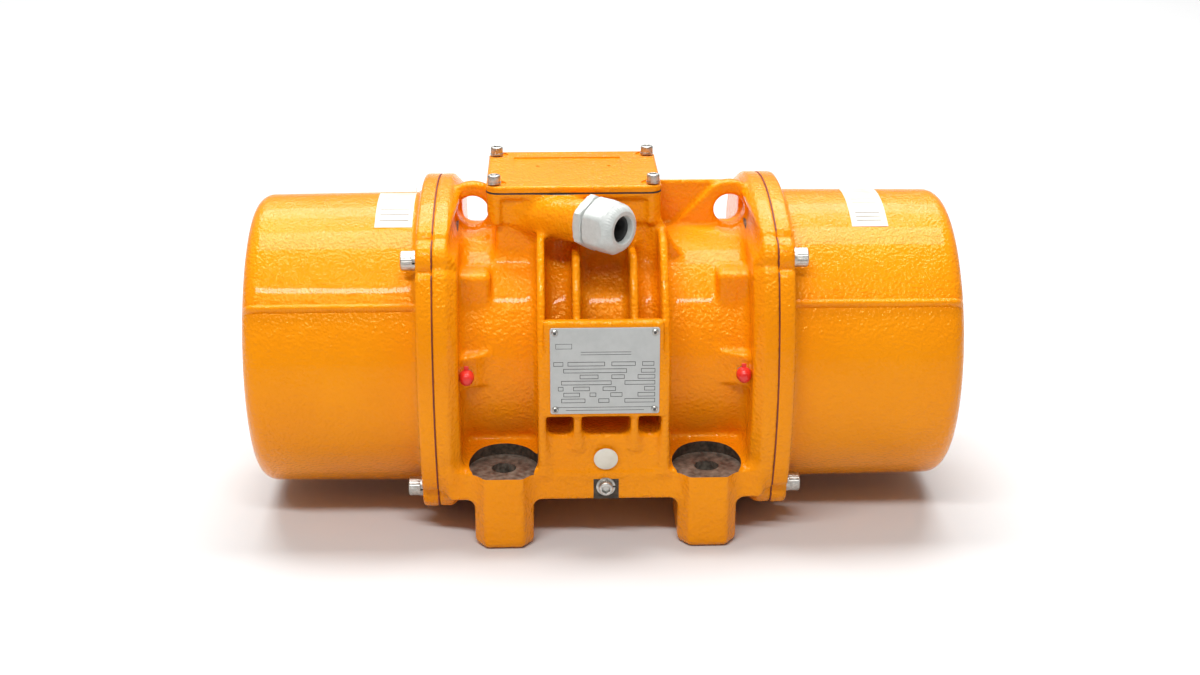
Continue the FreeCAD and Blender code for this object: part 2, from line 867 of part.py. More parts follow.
def cap_lines(body, side):
    """Raised line along each side of the cap, a little above its middle."""
    start = d.split + d.cap_flange_thickness - 1
    sketch = new_sketch(body, "YZ_Plane", start * side)
    turned = math.radians(SIZES["cap_line_angle"])
    for face in (-1, 1):
        c = math.cos(turned) * face
        s = math.sin(turned)
        half = d.cap_line_width / 2
        near = d.cap_end_radius - 2
        far = d.cap_radius + d.cap_line_height
        corners = [
            (near * c + half * s * face, near * s - half * c * face),
            (far * c + half * s * face, far * s - half * c * face),
            (far * c - half * s * face, far * s + half * c * face),
            (near * c - half * s * face, near * s + half * c * face),
        ]
        loop(sketch, corners)
    pad(sketch, d.cap_end - d.cap_edge - start, back=side < 0)


def cap_screw_places():
    lug = d.cap_screw_circle * COS45
    return [(lug * sy, lug * sz) for sy, sz in QUARTERS]


def cap_seal(name, side):
    profile = box_corners(d.split, d.split + d.seal_depth, d.seal_in, d.seal_out)
    turned_body(f"{name}_cap_seal", mirrored(profile, side))


def washers(label, plane, level, places, inner, outer, thickness, back=False, z=0):
    """Plain rings that lie on one level, one for each place."""
    body = new_body(label, 0, 0, z)
    sketch = new_sketch(body, plane, level)
    for u, v in places:
        ring(sketch, u, v, outer)
        ring(sketch, u, v, inner)
    pad(sketch, thickness, back=back)


def socket_screws(label, plane, seat, places, size, back=False, z=0):
    """Socket head screws with heads on one level; size is (shank radius, length, head, height)."""
    radius, length, head, height = size
    body = new_body(label, 0, 0, z)
    heads = new_sketch(body, plane, seat)
    shanks = new_sketch(body, plane, seat)
    outward = 1 if not back else -1
    sockets = new_sketch(body, plane, seat + height * outward)
    for u, v in places:
        ring(heads, u, v, head)
        ring(shanks, u, v, radius)
        loop(sockets, hexagon_corners(u, v, radius * 1.5))
    pad(heads, height, back=back)
    pad(shanks, length, back=not back)
    pocket(sockets, height * 0.55, back=back)


def cap_fixings(name, side):
    flange_end = d.split + d.cap_flange_thickness
    places = cap_screw_places()
    back = side < 0
    washers(
        f"{name}_cap_washers", "YZ_Plane", flange_end * side, places,
        d.cap_screw_radius + 0.2, d.cap_screw_head + 0.3, d.washer_thickness, back, d.axis_height,
    )
    size = (d.cap_screw_radius - d.fit, d.cap_screw_length, d.cap_screw_head, d.cap_head_height)
    seat = (flange_end + d.washer_thickness) * side
    socket_screws(f"{name}_cap_screws", "YZ_Plane", seat, places, size, back, d.axis_height)


# ---------------------------------------------------------------- bearings


def bearing_flange(name, side):
    """Disc in the housing's spigot with a hub that holds the bearing against an inner lip."""
    profile = [
        (d.hub_in, d.shaft_radius + 1),
        (d.hub_in, d.hub_radius - 4),
        (d.spigot_step, d.hub_radius + 4),
        (d.spigot_step, d.spigot_radius - d.fit),
        (d.bearing_flange_out, d.spigot_radius - d.fit),
        (d.bearing_flange_out, d.hub_radius + 2),
        (d.hub_out, d.hub_radius),
        (d.hub_out, d.bearing_radius),
        (d.clip_out, d.bearing_radius),
        (d.clip_out, d.bearing_radius + d.clip_groove),
        (d.bearing_out, d.bearing_radius + d.clip_groove),
        (d.bearing_out, d.bearing_radius),
        (d.bearing_in, d.bearing_radius),
        (d.bearing_in, d.shaft_radius + 1),
    ]
    body = turned_body(f"{name}_bearing_flange", mirrored(profile, side))
    holes = new_sketch(body, "YZ_Plane", d.bearing_flange_out * side)
    for y, z in flange_screw_places():
        ring(holes, y, z, d.flange_screw_radius + 0.4)
    pocket(holes, d.bearing_flange_out - d.spigot_step, back=side < 0)


def bearing_set(name, side):
    """Cylindrical roller bearing: both rings, the retaining clip, and the rollers in their cage."""
    outer = box_corners(d.bearing_in, d.bearing_out, d.race_out_radius, d.bearing_radius)
    turned_body(f"{name}_bearing_outer_ring", mirrored(outer, side))
    inner = box_corners(d.bearing_in, d.bearing_out, d.journal_radius, d.race_in_radius)
    turned_body(f"{name}_bearing_inner_ring", mirrored(inner, side))
    rim = d.bearing_radius + d.clip_groove
    clip = box_corners(d.bearing_out, d.clip_out, d.bearing_radius - d.clip_inset, rim)
    turned_body(f"{name}_bearing_clip", mirrored(clip, side))
    middle = (d.bearing_in + d.bearing_out) / 2
    turns = [2 * math.pi * n / ROLLERS for n in range(ROLLERS)]
    places = [(d.roller_circle * math.cos(a), d.roller_circle * math.sin(a)) for a in turns]
    rollers = new_body(f"{name}_rollers", middle * side, 0, d.axis_height)
    sketch = new_sketch(rollers, "YZ_Plane")
    for y, z in places:
        ring(sketch, y, z, d.roller_radius)
    pad(sketch, d.roller_length, both=True)
    cage = new_body(f"{name}_roller_cage", middle * side, 0, d.axis_height)
    half = d.roller_length / 2 + d.cage_rim
    near = d.roller_circle - d.cage_half_thickness
    far = d.roller_circle + d.cage_half_thickness
    turn("Revolution", loop(new_sketch(cage, "XZ_Plane"), box_corners(-half, half, near, far)))
    windows = new_sketch(cage, "YZ_Plane")
    for y, z in places:
        ring(windows, y, z, d.roller_radius + d.fit * 2)
    pocket(windows, d.roller_length + 0.4, both=True)


def bearing_fixings(name, side):
    radius = d.flange_screw_radius - d.fit
    size = (radius, d.flange_screw_length, d.flange_screw_head, d.flange_head_height)
    seat = d.bearing_flange_out * side
    socket_screws(
        f"{name}_bearing_flange_screws", "YZ_Plane", seat, flange_screw_places(), size,
        side < 0, d.axis_height,
    )


# ---------------------------------------------------------------- stator and rotor


def stator():
    """Ring for the stacked laminations and a closed bundle of coil ends at each side of it."""
    air = d.rotor_radius + d.air_gap
    turned_body("stator_core", box_corners(-d.core_half, d.core_half, air, d.bore_radius - d.fit))
    body = new_body("stator_windings", 0, 0, d.axis_height)
    low = d.rotor_radius + d.winding_in
    high = d.bore_radius - d.winding_out
    bevel = d.winding_bevel
    bundle = [
        (d.core_half, low),
        (d.core_half, high),
        (d.winding_end - bevel, high),
        (d.winding_end, high - bevel),
        (d.winding_end, low + bevel),
        (d.winding_end - bevel, low),
    ]
    for side in (-1, 1):
        turn("Revolution", loop(new_sketch(body, "XZ_Plane"), mirrored(bundle, side)))


def rotor_shaft():
    """Stepped shaft with a keyway and a clip groove at each end."""
    half = [
        (d.stub_end, 0),
        (d.stub_end, d.stub_radius - d.clip_depth),
        (d.stub_end - d.clip_depth, d.stub_radius),
        (d.bearing_out, d.stub_radius),
        (d.bearing_out, d.journal_radius),
        (d.bearing_in, d.journal_radius),
        (d.bearing_in, d.shaft_radius),
    ]
    profile = half + [(-x, r) for x, r in reversed(half)]
    body = turned_body("rotor_shaft", profile)
    start = weights_end()
    groove = box_corners(
        start, start + d.clip_width, d.stub_radius - d.clip_depth, d.stub_radius + d.clip_rim
    )
    for side in (-1, 1):
        slot = new_sketch(body, "YZ_Plane", d.weight_in * side)
        loop(slot, key_box())
        pocket(slot, d.weight_thickness, back=side > 0)
        turn("Groove", loop(new_sketch(body, "XZ_Plane"), mirrored(groove, side)))


def weights_end():
    return d.weight_in + d.weight_thickness * 2 + d.weight_gap


def key_box():
    half = d.key_width / 2
    low = d.stub_radius - d.key_half_height
    return box_corners(-half, half, low, low + d.key_half_height * 2)


def rotor_core():
    """Ring for the stacked laminations, with the cast end rings of the cage."""
    core = box_corners(-d.core_half, d.core_half, d.shaft_radius, d.rotor_radius)
    turned_body("rotor_core", core)
    body = new_body("rotor_end_rings", 0, 0, d.axis_height)
    low = d.rotor_radius - d.end_ring_in
    high = d.rotor_radius - d.end_ring_out
    end = box_corners(d.core_half, d.core_half + d.end_ring_length, low, high)
    for side in (-1, 1):
        turn("Revolution", loop(new_sketch(body, "XZ_Plane"), mirrored(end, side)))


def spacer(name, side):
    profile = box_corners(d.bearing_out, d.weight_in, d.stub_radius, d.stub_radius + d.spacer_wall)
    turned_body(f"{name}_shaft_spacer", mirrored(profile, side))


def fixed_weight(name, side):
    """Eccentric disc segment that hangs below the shaft, keyed to it."""
    r = d.weight_radius
    top = d.weight_hub
    body = new_body(f"{name}_fixed_weight", d.weight_in * side, 0, d.axis_height)
    outline = [
        (top * COS30, top * 0.5),
        (-(top * COS30), top * 0.5, 0, top),
        (-(r * COS10), -(r * SIN10)),
        (r * COS10, -(r * SIN10), 0, -r),
    ]
    pad(loop(new_sketch(body, "YZ_Plane"), outline), d.weight_thickness, back=side < 0)
    bore = ring(new_sketch(body, "YZ_Plane"), 0, 0, d.stub_radius)
    pocket(bore, d.weight_thickness, back=side > 0)
    slot = loop(new_sketch(body, "YZ_Plane"), key_box())
    pocket(slot, d.weight_thickness, back=side > 0)


def key(name, side):
    body = new_body(f"{name}_weight_key", d.weight_in * side, 0, d.axis_height)
    pad(loop(new_sketch(body, "YZ_Plane"), key_box()), d.weight_thickness, back=side < 0)


def adjustable_weight(name, side):
    """Like the fixed weight, with a split clamp on top in place of the keyway."""
    r = d.weight_radius
    start = d.weight_in + d.weight_thickness + d.weight_gap
    body = new_body(f"{name}_adjustable_weight", start * side, 0, d.axis_height)
    half = d.clamp_half
    top = d.clamp_top
    outline = [
        (half, d.stub_radius + d.clamp_root),
        (half, top),
        (-half, top),
        (-half, d.stub_radius + d.clamp_root),
        (-(r * COS10), -(r * SIN10)),
        (r * COS10, -(r * SIN10), 0, -r),
    ]
    pad(loop(new_sketch(body, "YZ_Plane"), outline), d.weight_thickness, back=side < 0)
    bore = ring(new_sketch(body, "YZ_Plane"), 0, 0, d.stub_radius + d.fit)
    pocket(bore, d.weight_thickness, back=side > 0)
    slit = box_corners(-d.clamp_slit / 2, d.clamp_slit / 2, d.stub_radius - 2, top + 1)
    pocket(loop(new_sketch(body, "YZ_Plane"), slit), d.weight_thickness, back=side > 0)
    middle = d.weight_thickness / 2 * side
    hole = new_sketch(body, "XZ_Plane")
    ring(hole, middle, d.clamp_screw_height, d.clamp_screw_radius + d.fit * 2)
    pocket(hole, half * 2 + 2, both=True)


def clamp_fixings(name, side):
    start = d.weight_in + d.weight_thickness + d.weight_gap
    middle = (start + d.weight_thickness / 2) * side
    place = [(middle, d.clamp_screw_height)]
    radius = d.clamp_screw_radius - d.fit
    size = (radius, d.clamp_screw_length, d.clamp_screw_head, d.clamp_head_height)
    socket_screws(f"{name}_clamp_screw", "XZ_Plane", d.clamp_half, place, size, z=d.axis_height)
    body = new_body(f"{name}_clamp_nut", 0, 0, d.axis_height)
    sketch = new_sketch(body, "XZ_Plane", -d.clamp_half)
    loop(sketch, hexagon_corners(middle, d.clamp_screw_height, d.clamp_nut))
    ring(sketch, middle, d.clamp_screw_height, d.clamp_screw_radius)
    pad(sketch, d.clamp_nut_height, back=True)


def shaft_clips():
    body = new_body("shaft_clips", 0, 0, d.axis_height)
    start = weights_end()
    low = d.stub_radius - d.clip_depth
    profile = box_corners(start, start + d.clip_width, low, d.stub_radius + d.clip_rim)
    for side in (-1, 1):
        turn("Revolution", loop(new_sketch(body, "XZ_Plane"), mirrored(profile, side)))


# ---------------------------------------------------------------- terminal box and gland


def box_cover():
    """Gasket, cover with a shallow panel, and the four cover screws with their washers."""
    x0 = d.box_centre_x - d.box_half_x
    x1 = d.box_centre_x + d.box_half_x
    y = d.box_half_y
    places = cover_screw_places()
    outer = rounded_corners(x0, x1, -y, y, d.box_corner)
    gasket = new_body("cover_gasket")
    sketch = loop(new_sketch(gasket, "XY_Plane", d.box_top), outer)
    width = d.gasket_width
    loop(sketch, rounded_corners(x0 + width, x1 - width, width - y, y - width, d.box_corner))
    for u, v in places:
        ring(sketch, u, v, d.cover_hole_radius)
    pad(sketch, d.gasket_thickness)
    cover = new_body("terminal_box_cover")
    seat = d.box_top + d.gasket_thickness
    top = seat + d.cover_thickness
    pad(loop(new_sketch(cover, "XY_Plane", seat), outer), d.cover_thickness)
    panel = rounded_corners(
        x0 + d.cover_panel_left, x1 - d.cover_panel_right, -d.cover_panel_front, d.cover_panel_back, 2
    )
    pocket(loop(new_sketch(cover, "XY_Plane", top), panel), d.cover_panel_depth)
    holes = new_sketch(cover, "XY_Plane", top)
    for u, v in places:
        ring(holes, u, v, d.cover_hole_radius)
    pocket(holes, d.cover_thickness)
    inner = d.cover_screw_radius + d.fit * 5
    washers(
        "cover_washers", "XY_Plane", top, places, inner, d.cover_screw_head + 0.2,
        d.cover_washer_thickness,
    )
    size = (d.cover_screw_radius, d.cover_screw_length, d.cover_screw_head, d.cover_head_height)
    socket_screws("cover_screws", "XY_Plane", top + d.cover_washer_thickness, places, size)


def cover_screw_places():
    return [
        (d.box_centre_x + d.box_screw_x * sx, d.box_screw_y * sy) for sx, sy in QUARTERS
    ]


def terminals():
    """Terminal board with six studs and their nuts."""
    block = new_body("terminal_board")
    x = d.box_centre_x
    floor = d.box_floor
    far = d.board_half_x
    near = d.board_half_x - d.board_bar
    y = d.board_half_y
    for bar in (
        box_corners(x - far, x - near, -y, y),
        box_corners(x + near, x + far, -y, y),
        box_corners(x - far, x + far, y - d.board_bridge, y),
    ):
        pad(loop(new_sketch(block, "XY_Plane", floor), bar), d.board_height)
    places = [(x + d.stud_x * sx, d.stud_pitch * n) for sx in (-1, 1) for n in (-1, 0, 1)]
    holes = new_sketch(block, "XY_Plane", floor + d.board_height)
    studs = new_body("terminal_studs")
    stud_sketch = new_sketch(studs, "XY_Plane", floor + d.stud_seat)
    nuts = new_body("terminal_nuts")
    nut_sketch = new_sketch(nuts, "XY_Plane", floor + d.board_height)
    for u, v in places:
        ring(holes, u, v, d.stud_radius)
        ring(stud_sketch, u, v, d.stud_radius)
        loop(nut_sketch, hexagon_corners(u, v, d.stud_nut))
        ring(nut_sketch, u, v, d.stud_radius)
    pocket(holes, d.board_height - d.stud_seat)
    pad(stud_sketch, d.stud_length)
    pad(nut_sketch, d.stud_nut_height)


def gland_body():
    """Hexagonal base with a threaded shank in the boss and a collar that carries the dome nut."""
    body = new_body("gland_body", d.gland_x, d.gland_y, d.gland_z, d.gland_turn)
    base = loop(new_sketch(body, "YZ_Plane"), hexagon_corners(0, 0, d.gland_hex))
    pad(base, d.gland_hex_height)
    r = d.gland_bore_radius - d.fit
    small = d.gland_hole_radius
    start = -d.gland_shank
    middle = d.seal_start
    end = d.gland_collar_end
    mouth = d.gland_mouth
    outside = [(start, small), (start, r), (0, r), (1, d.gland_collar), (end, d.gland_collar)]
    inside = [(end, mouth), (middle, mouth), (middle, small)]
    turn("Revolution", loop(new_sketch(body, "XZ_Plane"), outside + inside))
    bore = [
        (start - 1, 0),
        (start - 1, small),
        (middle, small),
        (middle, mouth),
        (end + 1, mouth),
        (end + 1, 0),
    ]
    turn("Groove", loop(new_sketch(body, "XZ_Plane"), bore))


def gland_seal():
    """Rubber ring that grips the cable, with a bevelled lip under the nut."""
    mouth = d.gland_mouth - d.fit
    seal = [
        (d.seal_start, d.cable_radius),
        (d.seal_start, mouth),
        (d.seal_end - 3, mouth),
        (d.seal_end, mouth - 1.5),
        (d.seal_end, d.cable_radius),
    ]
    turned_body("gland_seal", seal, d.gland_x, d.gland_y, d.gland_z, d.gland_turn)


def gland_nut():
    """Dome nut: hexagon at its base, rounded towards the cable."""
    body = new_body("gland_nut", d.gland_x, d.gland_y, d.gland_z, d.gland_turn)
    hexagon = hexagon_corners(0, 0, d.gland_hex)
    pad(loop(new_sketch(body, "YZ_Plane", d.nut_start), hexagon), d.nut_length)
    clear = d.gland_hex * 0.75
    shoulder = d.nut_shoulder_s
    end = d.nut_start + d.nut_length + 0.3
    dome = [
        (d.nut_hex_end, clear),
        (d.nut_hex_end, d.nut_shoulder_r + 1.6),
        (shoulder, d.nut_shoulder_r),
        (end, d.nut_tip_r, shoulder + 4, d.nut_tip_r + 3.1),
        (end + 4, d.nut_tip_r),
        (end + 4, clear),
    ]
    turn("Groove", loop(new_sketch(body, "XZ_Plane"), dome))
    thread = d.gland_collar + d.fit
    lip = d.gland_mouth - d.fit - 1.5
    inside = [
        (d.nut_start - 0.2, 0),
        (d.nut_start - 0.2, thread),
        (d.gland_collar_end + 1, thread),
        (d.seal_end + 0.5, lip + 0.1),
        (d.seal_end + 2, d.cable_radius + 1.5),
        (end + 0.5, lip),
        (end + 0.5, 0),
    ]
    turn("Groove", loop(new_sketch(body, "XZ_Plane"), inside))


# ---------------------------------------------------------------- small outside pieces


def nameplate():
    """Plain data plate on the pad of the ribs, held by four rivets."""
    body = new_body("nameplate")
    seat = d.plate_pad_y
    outline = rounded_corners(-d.plate_left, d.plate_right, d.plate_low, d.plate_high, d.plate_corner)
    pad(loop(new_sketch(body, "XZ_Plane", seat), outline), d.plate_thickness)
    rivets = new_body("nameplate_rivets")
    sketch = new_sketch(rivets, "XZ_Plane", seat + d.plate_thickness)
    inset = d.rivet_inset
    for x in (inset - d.plate_left, d.plate_right - inset):
        for z in (d.plate_low + inset, d.plate_high - inset):
            ring(sketch, x, z, d.rivet_radius)
    pad(sketch, d.rivet_height)


def earth_screw():
    """Screw and washer for the earth lead, in the middle of the front band."""
    place = [(0, (d.base_bottom + d.foot_height) / 2)]
    seat = d.base_front
    thickness = d.earth_washer_thickness
    hole = d.earth_screw_radius + d.fit * 2
    washers("earth_washer", "XZ_Plane", seat, place, hole, d.earth_washer_radius, thickness)
    size = (d.earth_screw_radius - d.fit, thickness, d.earth_screw_head, d.earth_head_height)
    socket_screws("earth_screw", "XZ_Plane", seat + thickness, place, size)


def nipples():
    """Grease nipple on each wedge, under a plastic cap."""
    flats = d.nipple_hex_height
    end = d.nipple_length
    stem = d.nipple_stem_radius
    hexagon = d.nipple_hex_radius
    fitting = [(0, 0), (0, hexagon), (flats, hexagon), (flats, stem), (end, stem), (end, 0)]
    cap = [
        (flats, stem),
        (flats, d.nipple_cap_neck),
        (d.nipple_cap_bend, d.nipple_cap_radius),
        (d.nipple_cap_end, d.nipple_cap_tip),
        (d.nipple_cap_end, 0),
        (end, 0),
        (end, stem),
    ]
    for name, side in SIDES:
        place = (d.nipple_x * side, -d.nipple_y, d.nipple_z, -90)
        turned_body(f"{name}_grease_nipple", fitting, *place)
        turned_body(f"{name}_nipple_cap", cap, *place)


def build():
    stator_housing()
    stator()
    rotor_shaft()
    rotor_core()
    shaft_clips()
    for name, side in SIDES:
        end_cap(name, side)
        cap_seal(name, side)
        cap_fixings(name, side)
        bearing_flange(name, side)
        bearing_set(name, side)
        bearing_fixings(name, side)
        spacer(name, side)
        fixed_weight(name, side)
        key(name, side)
        adjustable_weight(name, side)
        clamp_fixings(name, side)
    box_cover()
    terminals()
    gland_body()
    gland_seal()
    gland_nut()
    nameplate()
    earth_screw()
    nipples()


def check(body):
    """Stops the build if any feature failed or the piece is not sound."""
    for feature in [body] + body.Group:
        bad = {"Invalid", "Error"} & set(feature.State)
        if bad:
            raise RuntimeError(f"{body.Label}: {feature.Name} is {bad}")
    if body.Shape.isNull() or not body.Shape.isValid():
        raise RuntimeError(f"{body.Label} has no valid shape")


build()
doc.recompute()
for body in bodies:
    check(body)
os.makedirs("parts", exist_ok=True)
for body in bodies:
    body.Shape.exportStep(f"parts/{body.Label}.step")
    print(body.Label, len(body.Shape.Solids), round(body.Shape.Volume))
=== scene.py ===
import json
import math

import bmesh
import bpy
import numpy as np
from mathutils import Matrix, Vector


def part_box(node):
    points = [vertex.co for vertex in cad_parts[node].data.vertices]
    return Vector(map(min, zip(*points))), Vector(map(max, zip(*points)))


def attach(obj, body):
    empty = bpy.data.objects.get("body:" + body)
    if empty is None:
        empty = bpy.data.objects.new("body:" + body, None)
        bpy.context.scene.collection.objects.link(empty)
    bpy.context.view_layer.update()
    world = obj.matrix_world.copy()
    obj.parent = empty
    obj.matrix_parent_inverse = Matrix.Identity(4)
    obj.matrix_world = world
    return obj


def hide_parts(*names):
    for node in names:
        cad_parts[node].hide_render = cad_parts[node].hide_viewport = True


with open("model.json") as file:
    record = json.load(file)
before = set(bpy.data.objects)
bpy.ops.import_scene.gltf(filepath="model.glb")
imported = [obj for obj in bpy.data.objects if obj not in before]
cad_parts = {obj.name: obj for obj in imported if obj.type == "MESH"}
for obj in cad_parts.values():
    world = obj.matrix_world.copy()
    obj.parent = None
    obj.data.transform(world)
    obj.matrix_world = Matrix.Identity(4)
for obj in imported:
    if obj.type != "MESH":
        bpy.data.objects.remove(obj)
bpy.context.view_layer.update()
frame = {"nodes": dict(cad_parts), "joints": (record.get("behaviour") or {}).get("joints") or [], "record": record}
NODES = frame["nodes"]
MOUNTS = {mount["name"]: mount for mount in frame["record"]["mounts"]}
MM = 0.001

# Sizes in millimetres. The axis runs along X at AXIS_Z; the feet stand on z = 0.
AXIS_Z = frame["joints"][0]["pos_m"][2] / MM
SIDES = (-1, 1)
FRONT = (0, -1, 0)
CORNERS = [(sx, sy) for sx in SIDES for sy in SIDES]

# Barrel with its machined ends, and the grid that the casting is made on
BARREL_R = 83
BORE_R = 71
SPIGOT_R = 88
SPIGOT_STEP = 101
SPLIT = 115.5
INNER_Y = 60  # inside the barrel, where the base's and the ribs' outlines start
EDGE_SOFTNESS = 0.9
GRID_STEP = 1.25
GRID_LOW = (-119, -120, -4)
GRID_HIGH = (119, 120, 241)
KEPT_FACES = 0.4
BEYOND = 250  # above all metal, for the tops of cutters

# Bulged square flanges; LUG is each way from the axis to the centre of a round corner
FLANGE_IN = 99
FLANGE_SLOPE = 7
FLANGE_HALF = (117, 114)
LUG = 116.45 * math.sqrt(0.5)
LUG_R = 14

# End caps
CAP_FLANGE = 11
CAP_R = 104.2
CAP_END_R = 103.2
CAP_END = 245
CAP_EDGE = 12
CAP_WALL = 3.2
CAP_FILLET = 5
CAP_RIM_GAP = 3.4
CAP_TURNS = 192
LINE_TURN = math.radians(30)
LINE_HALF = 0.03
LINE_REACH = 0.042
LINE_HEIGHT = 3.5

# Base and feet; outlines are (y, z) or (x, y) points
FOOT = (70, 95)
FOOT_OUTLINE = [(-20.3, 58), (-20.3, 105), (-13, 115), (13, 115), (20.3, 105), (20.3, 58)]
FOOT_HOLE_R = MOUNTS["foot_bolts"]["dims"]["hole_r_mm"]
SPOT_R = 24
SPOT_TOP = 66
BASE_HALF = 108
BAND_Z = (33, 53)
BAND_Y = 105
BASE_TOP = (60, 62.5)

# Rib cage, the nameplate's pad and the small bosses
WAIST_HALF = 42
WAIST_Z = (50, 81)
RIB_R = 115
RIB_T = 5.6
RIB_START_Z = 98
RIBS = (-43.2, -19.3, 19.3, 40.0)
OUTER_RIB = (53, 54)  # lowest z, and the angle where the top ends
INNER_RIB = (71, 47)
PAD_BOX = ((-41.6, -115, 98), (38.4, -106.5, 166))
BOSS_X = (77.5, 104)
BOSS_Y = (70, 40)
BOSS_Z = (159, 184.5)
WEDGE = [(104, -60), (104, -94), (98, -94), (76, -81), (76, -60)]
WEDGE_Z = (110, 133)

# Terminal box and gland
BOX_X = (-80, 40)
BOX_Y = 50
BOX_Z = (213, 235.5)
BOX_POST = 10
BOX_CORNER = 9
BOX_NECK_Y = 44
BOX_INSIDE = ((-71, -41, 204), (31, 41, 240))
GLAND = (-10.5, -73, 222.8)
GLAND_TURN = math.radians(-43)
GLAND_AXIS = (math.cos(GLAND_TURN), math.sin(GLAND_TURN), 0)
GLAND_BOSS_R = 15.3
GLAND_BOSS_LONG = 60
GLAND_BOSS_FALL = 0.1
GLAND_BOSS_TAPER = 0.04
GLAND_SEAT_R = 20.5
GLAND_ACROSS = 33.6

# Lifting eyes
EYE = tuple(abs(c) / MM for c in MOUNTS["right_lifting_eye"]["pos_m"][::2])
EYE_R = 21
EYE_HOLE = MOUNTS["right_lifting_eye"]["dims"]["r_mm"]
EYE_FOOT = AXIS_Z + 60
EYE_HALF = 5
LEDGE_Y = (-26, 5)
LEDGE_Z = 180
RIGHT_EYE_KNEE = 198.4
SCOOP_GROW = 2.5
SCOOP_Y = (-118, 0)
WEB_Y = (0, 4)
WEB_TOP = 232
GUSSET_Y = (-45, -36)
GUSSET_Z = (190, 214)

# Further back and lower than the CAD's grease nipples, to stand on the wedges
NIPPLE_SHIFT = (14.4, -2.8)


# ---- helpers for meshes


def new_object(name, shape, material, sharp=None, smooth=True):
    """A mesh piece from (verts, faces) in millimetres that rides on the housing."""
    verts, faces = shape
    mesh = bpy.data.meshes.new(name)
    mesh.from_pydata([tuple(c * MM for c in v) for v in verts], [], faces)
    mesh.materials.append(material)
    if smooth:
        mesh.shade_smooth()
    obj = bpy.data.objects.new(name, mesh)
    bpy.context.scene.collection.objects.link(obj)
    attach(obj, "housing")
    if sharp:
        mark_sharp(obj, sharp)
    return obj


def mark_sharp(obj, degrees):
    """Keeps edges crisp where two faces meet at more than the angle."""
    bm = bmesh.new()
    bm.from_mesh(obj.data)
    limit = math.radians(degrees)
    for edge in bm.edges:
        edge.smooth = not (len(edge.link_faces) == 2 and edge.calc_face_angle(0) > limit)
    bm.to_mesh(obj.data)
    bm.free()


def grid_faces(rows, columns, flip=False):
    """Quads between neighbouring closed rings, whose vertices come ring by ring."""
    faces = []
    for r in range(rows - 1):
        for c in range(columns):
            n = (c + 1) % columns
            quad = (r * columns + c, r * columns + n, (r + 1) * columns + n, (r + 1) * columns + c)
            faces.append(quad[::-1] if flip else quad)
    return faces


def circle_turns(count):
    return [2 * math.pi * n / count for n in range(count)]


def round_point(along, radius, turn):
    """Point at a radius from the shaft's axis."""
    return along, radius * math.cos(turn), AXIS_Z + radius * math.sin(turn)


def stacked(verts, rows):
    """Closed skin through equal loops of points, from first to last."""
    count = len(verts) // rows
    top = (rows - 1) * count
    ends = [tuple(range(top, top + count)), tuple(range(count))[::-1]]
    return verts, grid_faces(rows, count) + ends


def moved(shape, matrix):
    verts, faces = shape
    return [tuple(matrix @ Vector(v)) for v in verts], faces


def merge(groups):
    """Joins several (verts, faces) into one."""
    verts = []
    faces = []
    for group_verts, group_faces in groups:
        start = len(verts)
        verts += group_verts
        faces += [tuple(i + start for i in face) for face in group_faces]
    return verts, faces


def arc(cx, cy, radius, start, end, count):
    """Points on an arc, angles in degrees."""
    turns = np.radians(np.linspace(start, end, count))
    return [(cx + radius * math.cos(a), cy + radius * math.sin(a)) for a in turns]


def flange_radius(turn):
    """Distance from the axis to the bulged square flange outline, in the direction turn (radians)."""
    c = abs(math.cos(turn))
    s = abs(math.sin(turn))
    best = 1e9
    for main, other, half in ((c, s, FLANGE_HALF[0]), (s, c, FLANGE_HALF[1])):
        reach = half - LUG_R
        beyond = (2 * LUG * LUG - reach * reach) / (2 * (reach - LUG))
        radius = half + beyond
        hit = -beyond * main + math.sqrt(radius * radius - (beyond * other) ** 2)
        best = min(best, hit)
    corner = LUG * (c + s)
    inside = LUG_R**2 - LUG * LUG * (c - s) ** 2
    if inside > 0:
        best = min(best, corner + math.sqrt(inside))
    return best


def span(near, far, side):
    """Two distances from the middle plane, on one side of it, in rising order."""
    return sorted((near * side, far * side))


def swept_axes(axis):
    """Number of an axis, and of the two across it."""
    n = "xyz".index(axis)
    return n, [m for m in range(3) if m != n]


# ---- casting as a distance field


def blend_min(a, b, k):
    """Smaller of two distances, rounded over k millimetres where they meet."""
    if k <= 0:
        return np.minimum(a, b)
    h = np.clip(0.5 + 0.5 * (b - a) / k, 0, 1)
    return b * (1 - h) + a * h - k * h * (1 - h)


def polygon_distance(points, u, v):
    """Signed distance to a closed polygon on a plane grid, negative inside."""
    far = np.full(np.broadcast(u, v).shape, 1e9)
    inside = np.zeros(far.shape, bool)
    for (au, av), (bu, bv) in zip(points, points[1:] + points[:1]):
        eu, ev = bu - au, bv - av
        along = np.clip(((u - au) * eu + (v - av) * ev) / (eu * eu + ev * ev), 0, 1)
        far = np.minimum(far, np.hypot(u - au - eu * along, v - av - ev * along))
        crosses = (av > v) != (bv > v)
        if bv != av:
            inside ^= crosses & (u < au + (v - av) * eu / (bv - av))
    return np.where(inside, -far, far)


def rounded(a, b, r):
    """Intersection of two distances with its convex edge rounded by r."""
    outside = np.hypot(np.maximum(a + r, 0), np.maximum(b + r, 0))
    return outside + np.minimum(np.maximum(a, b) + r, 0) - r


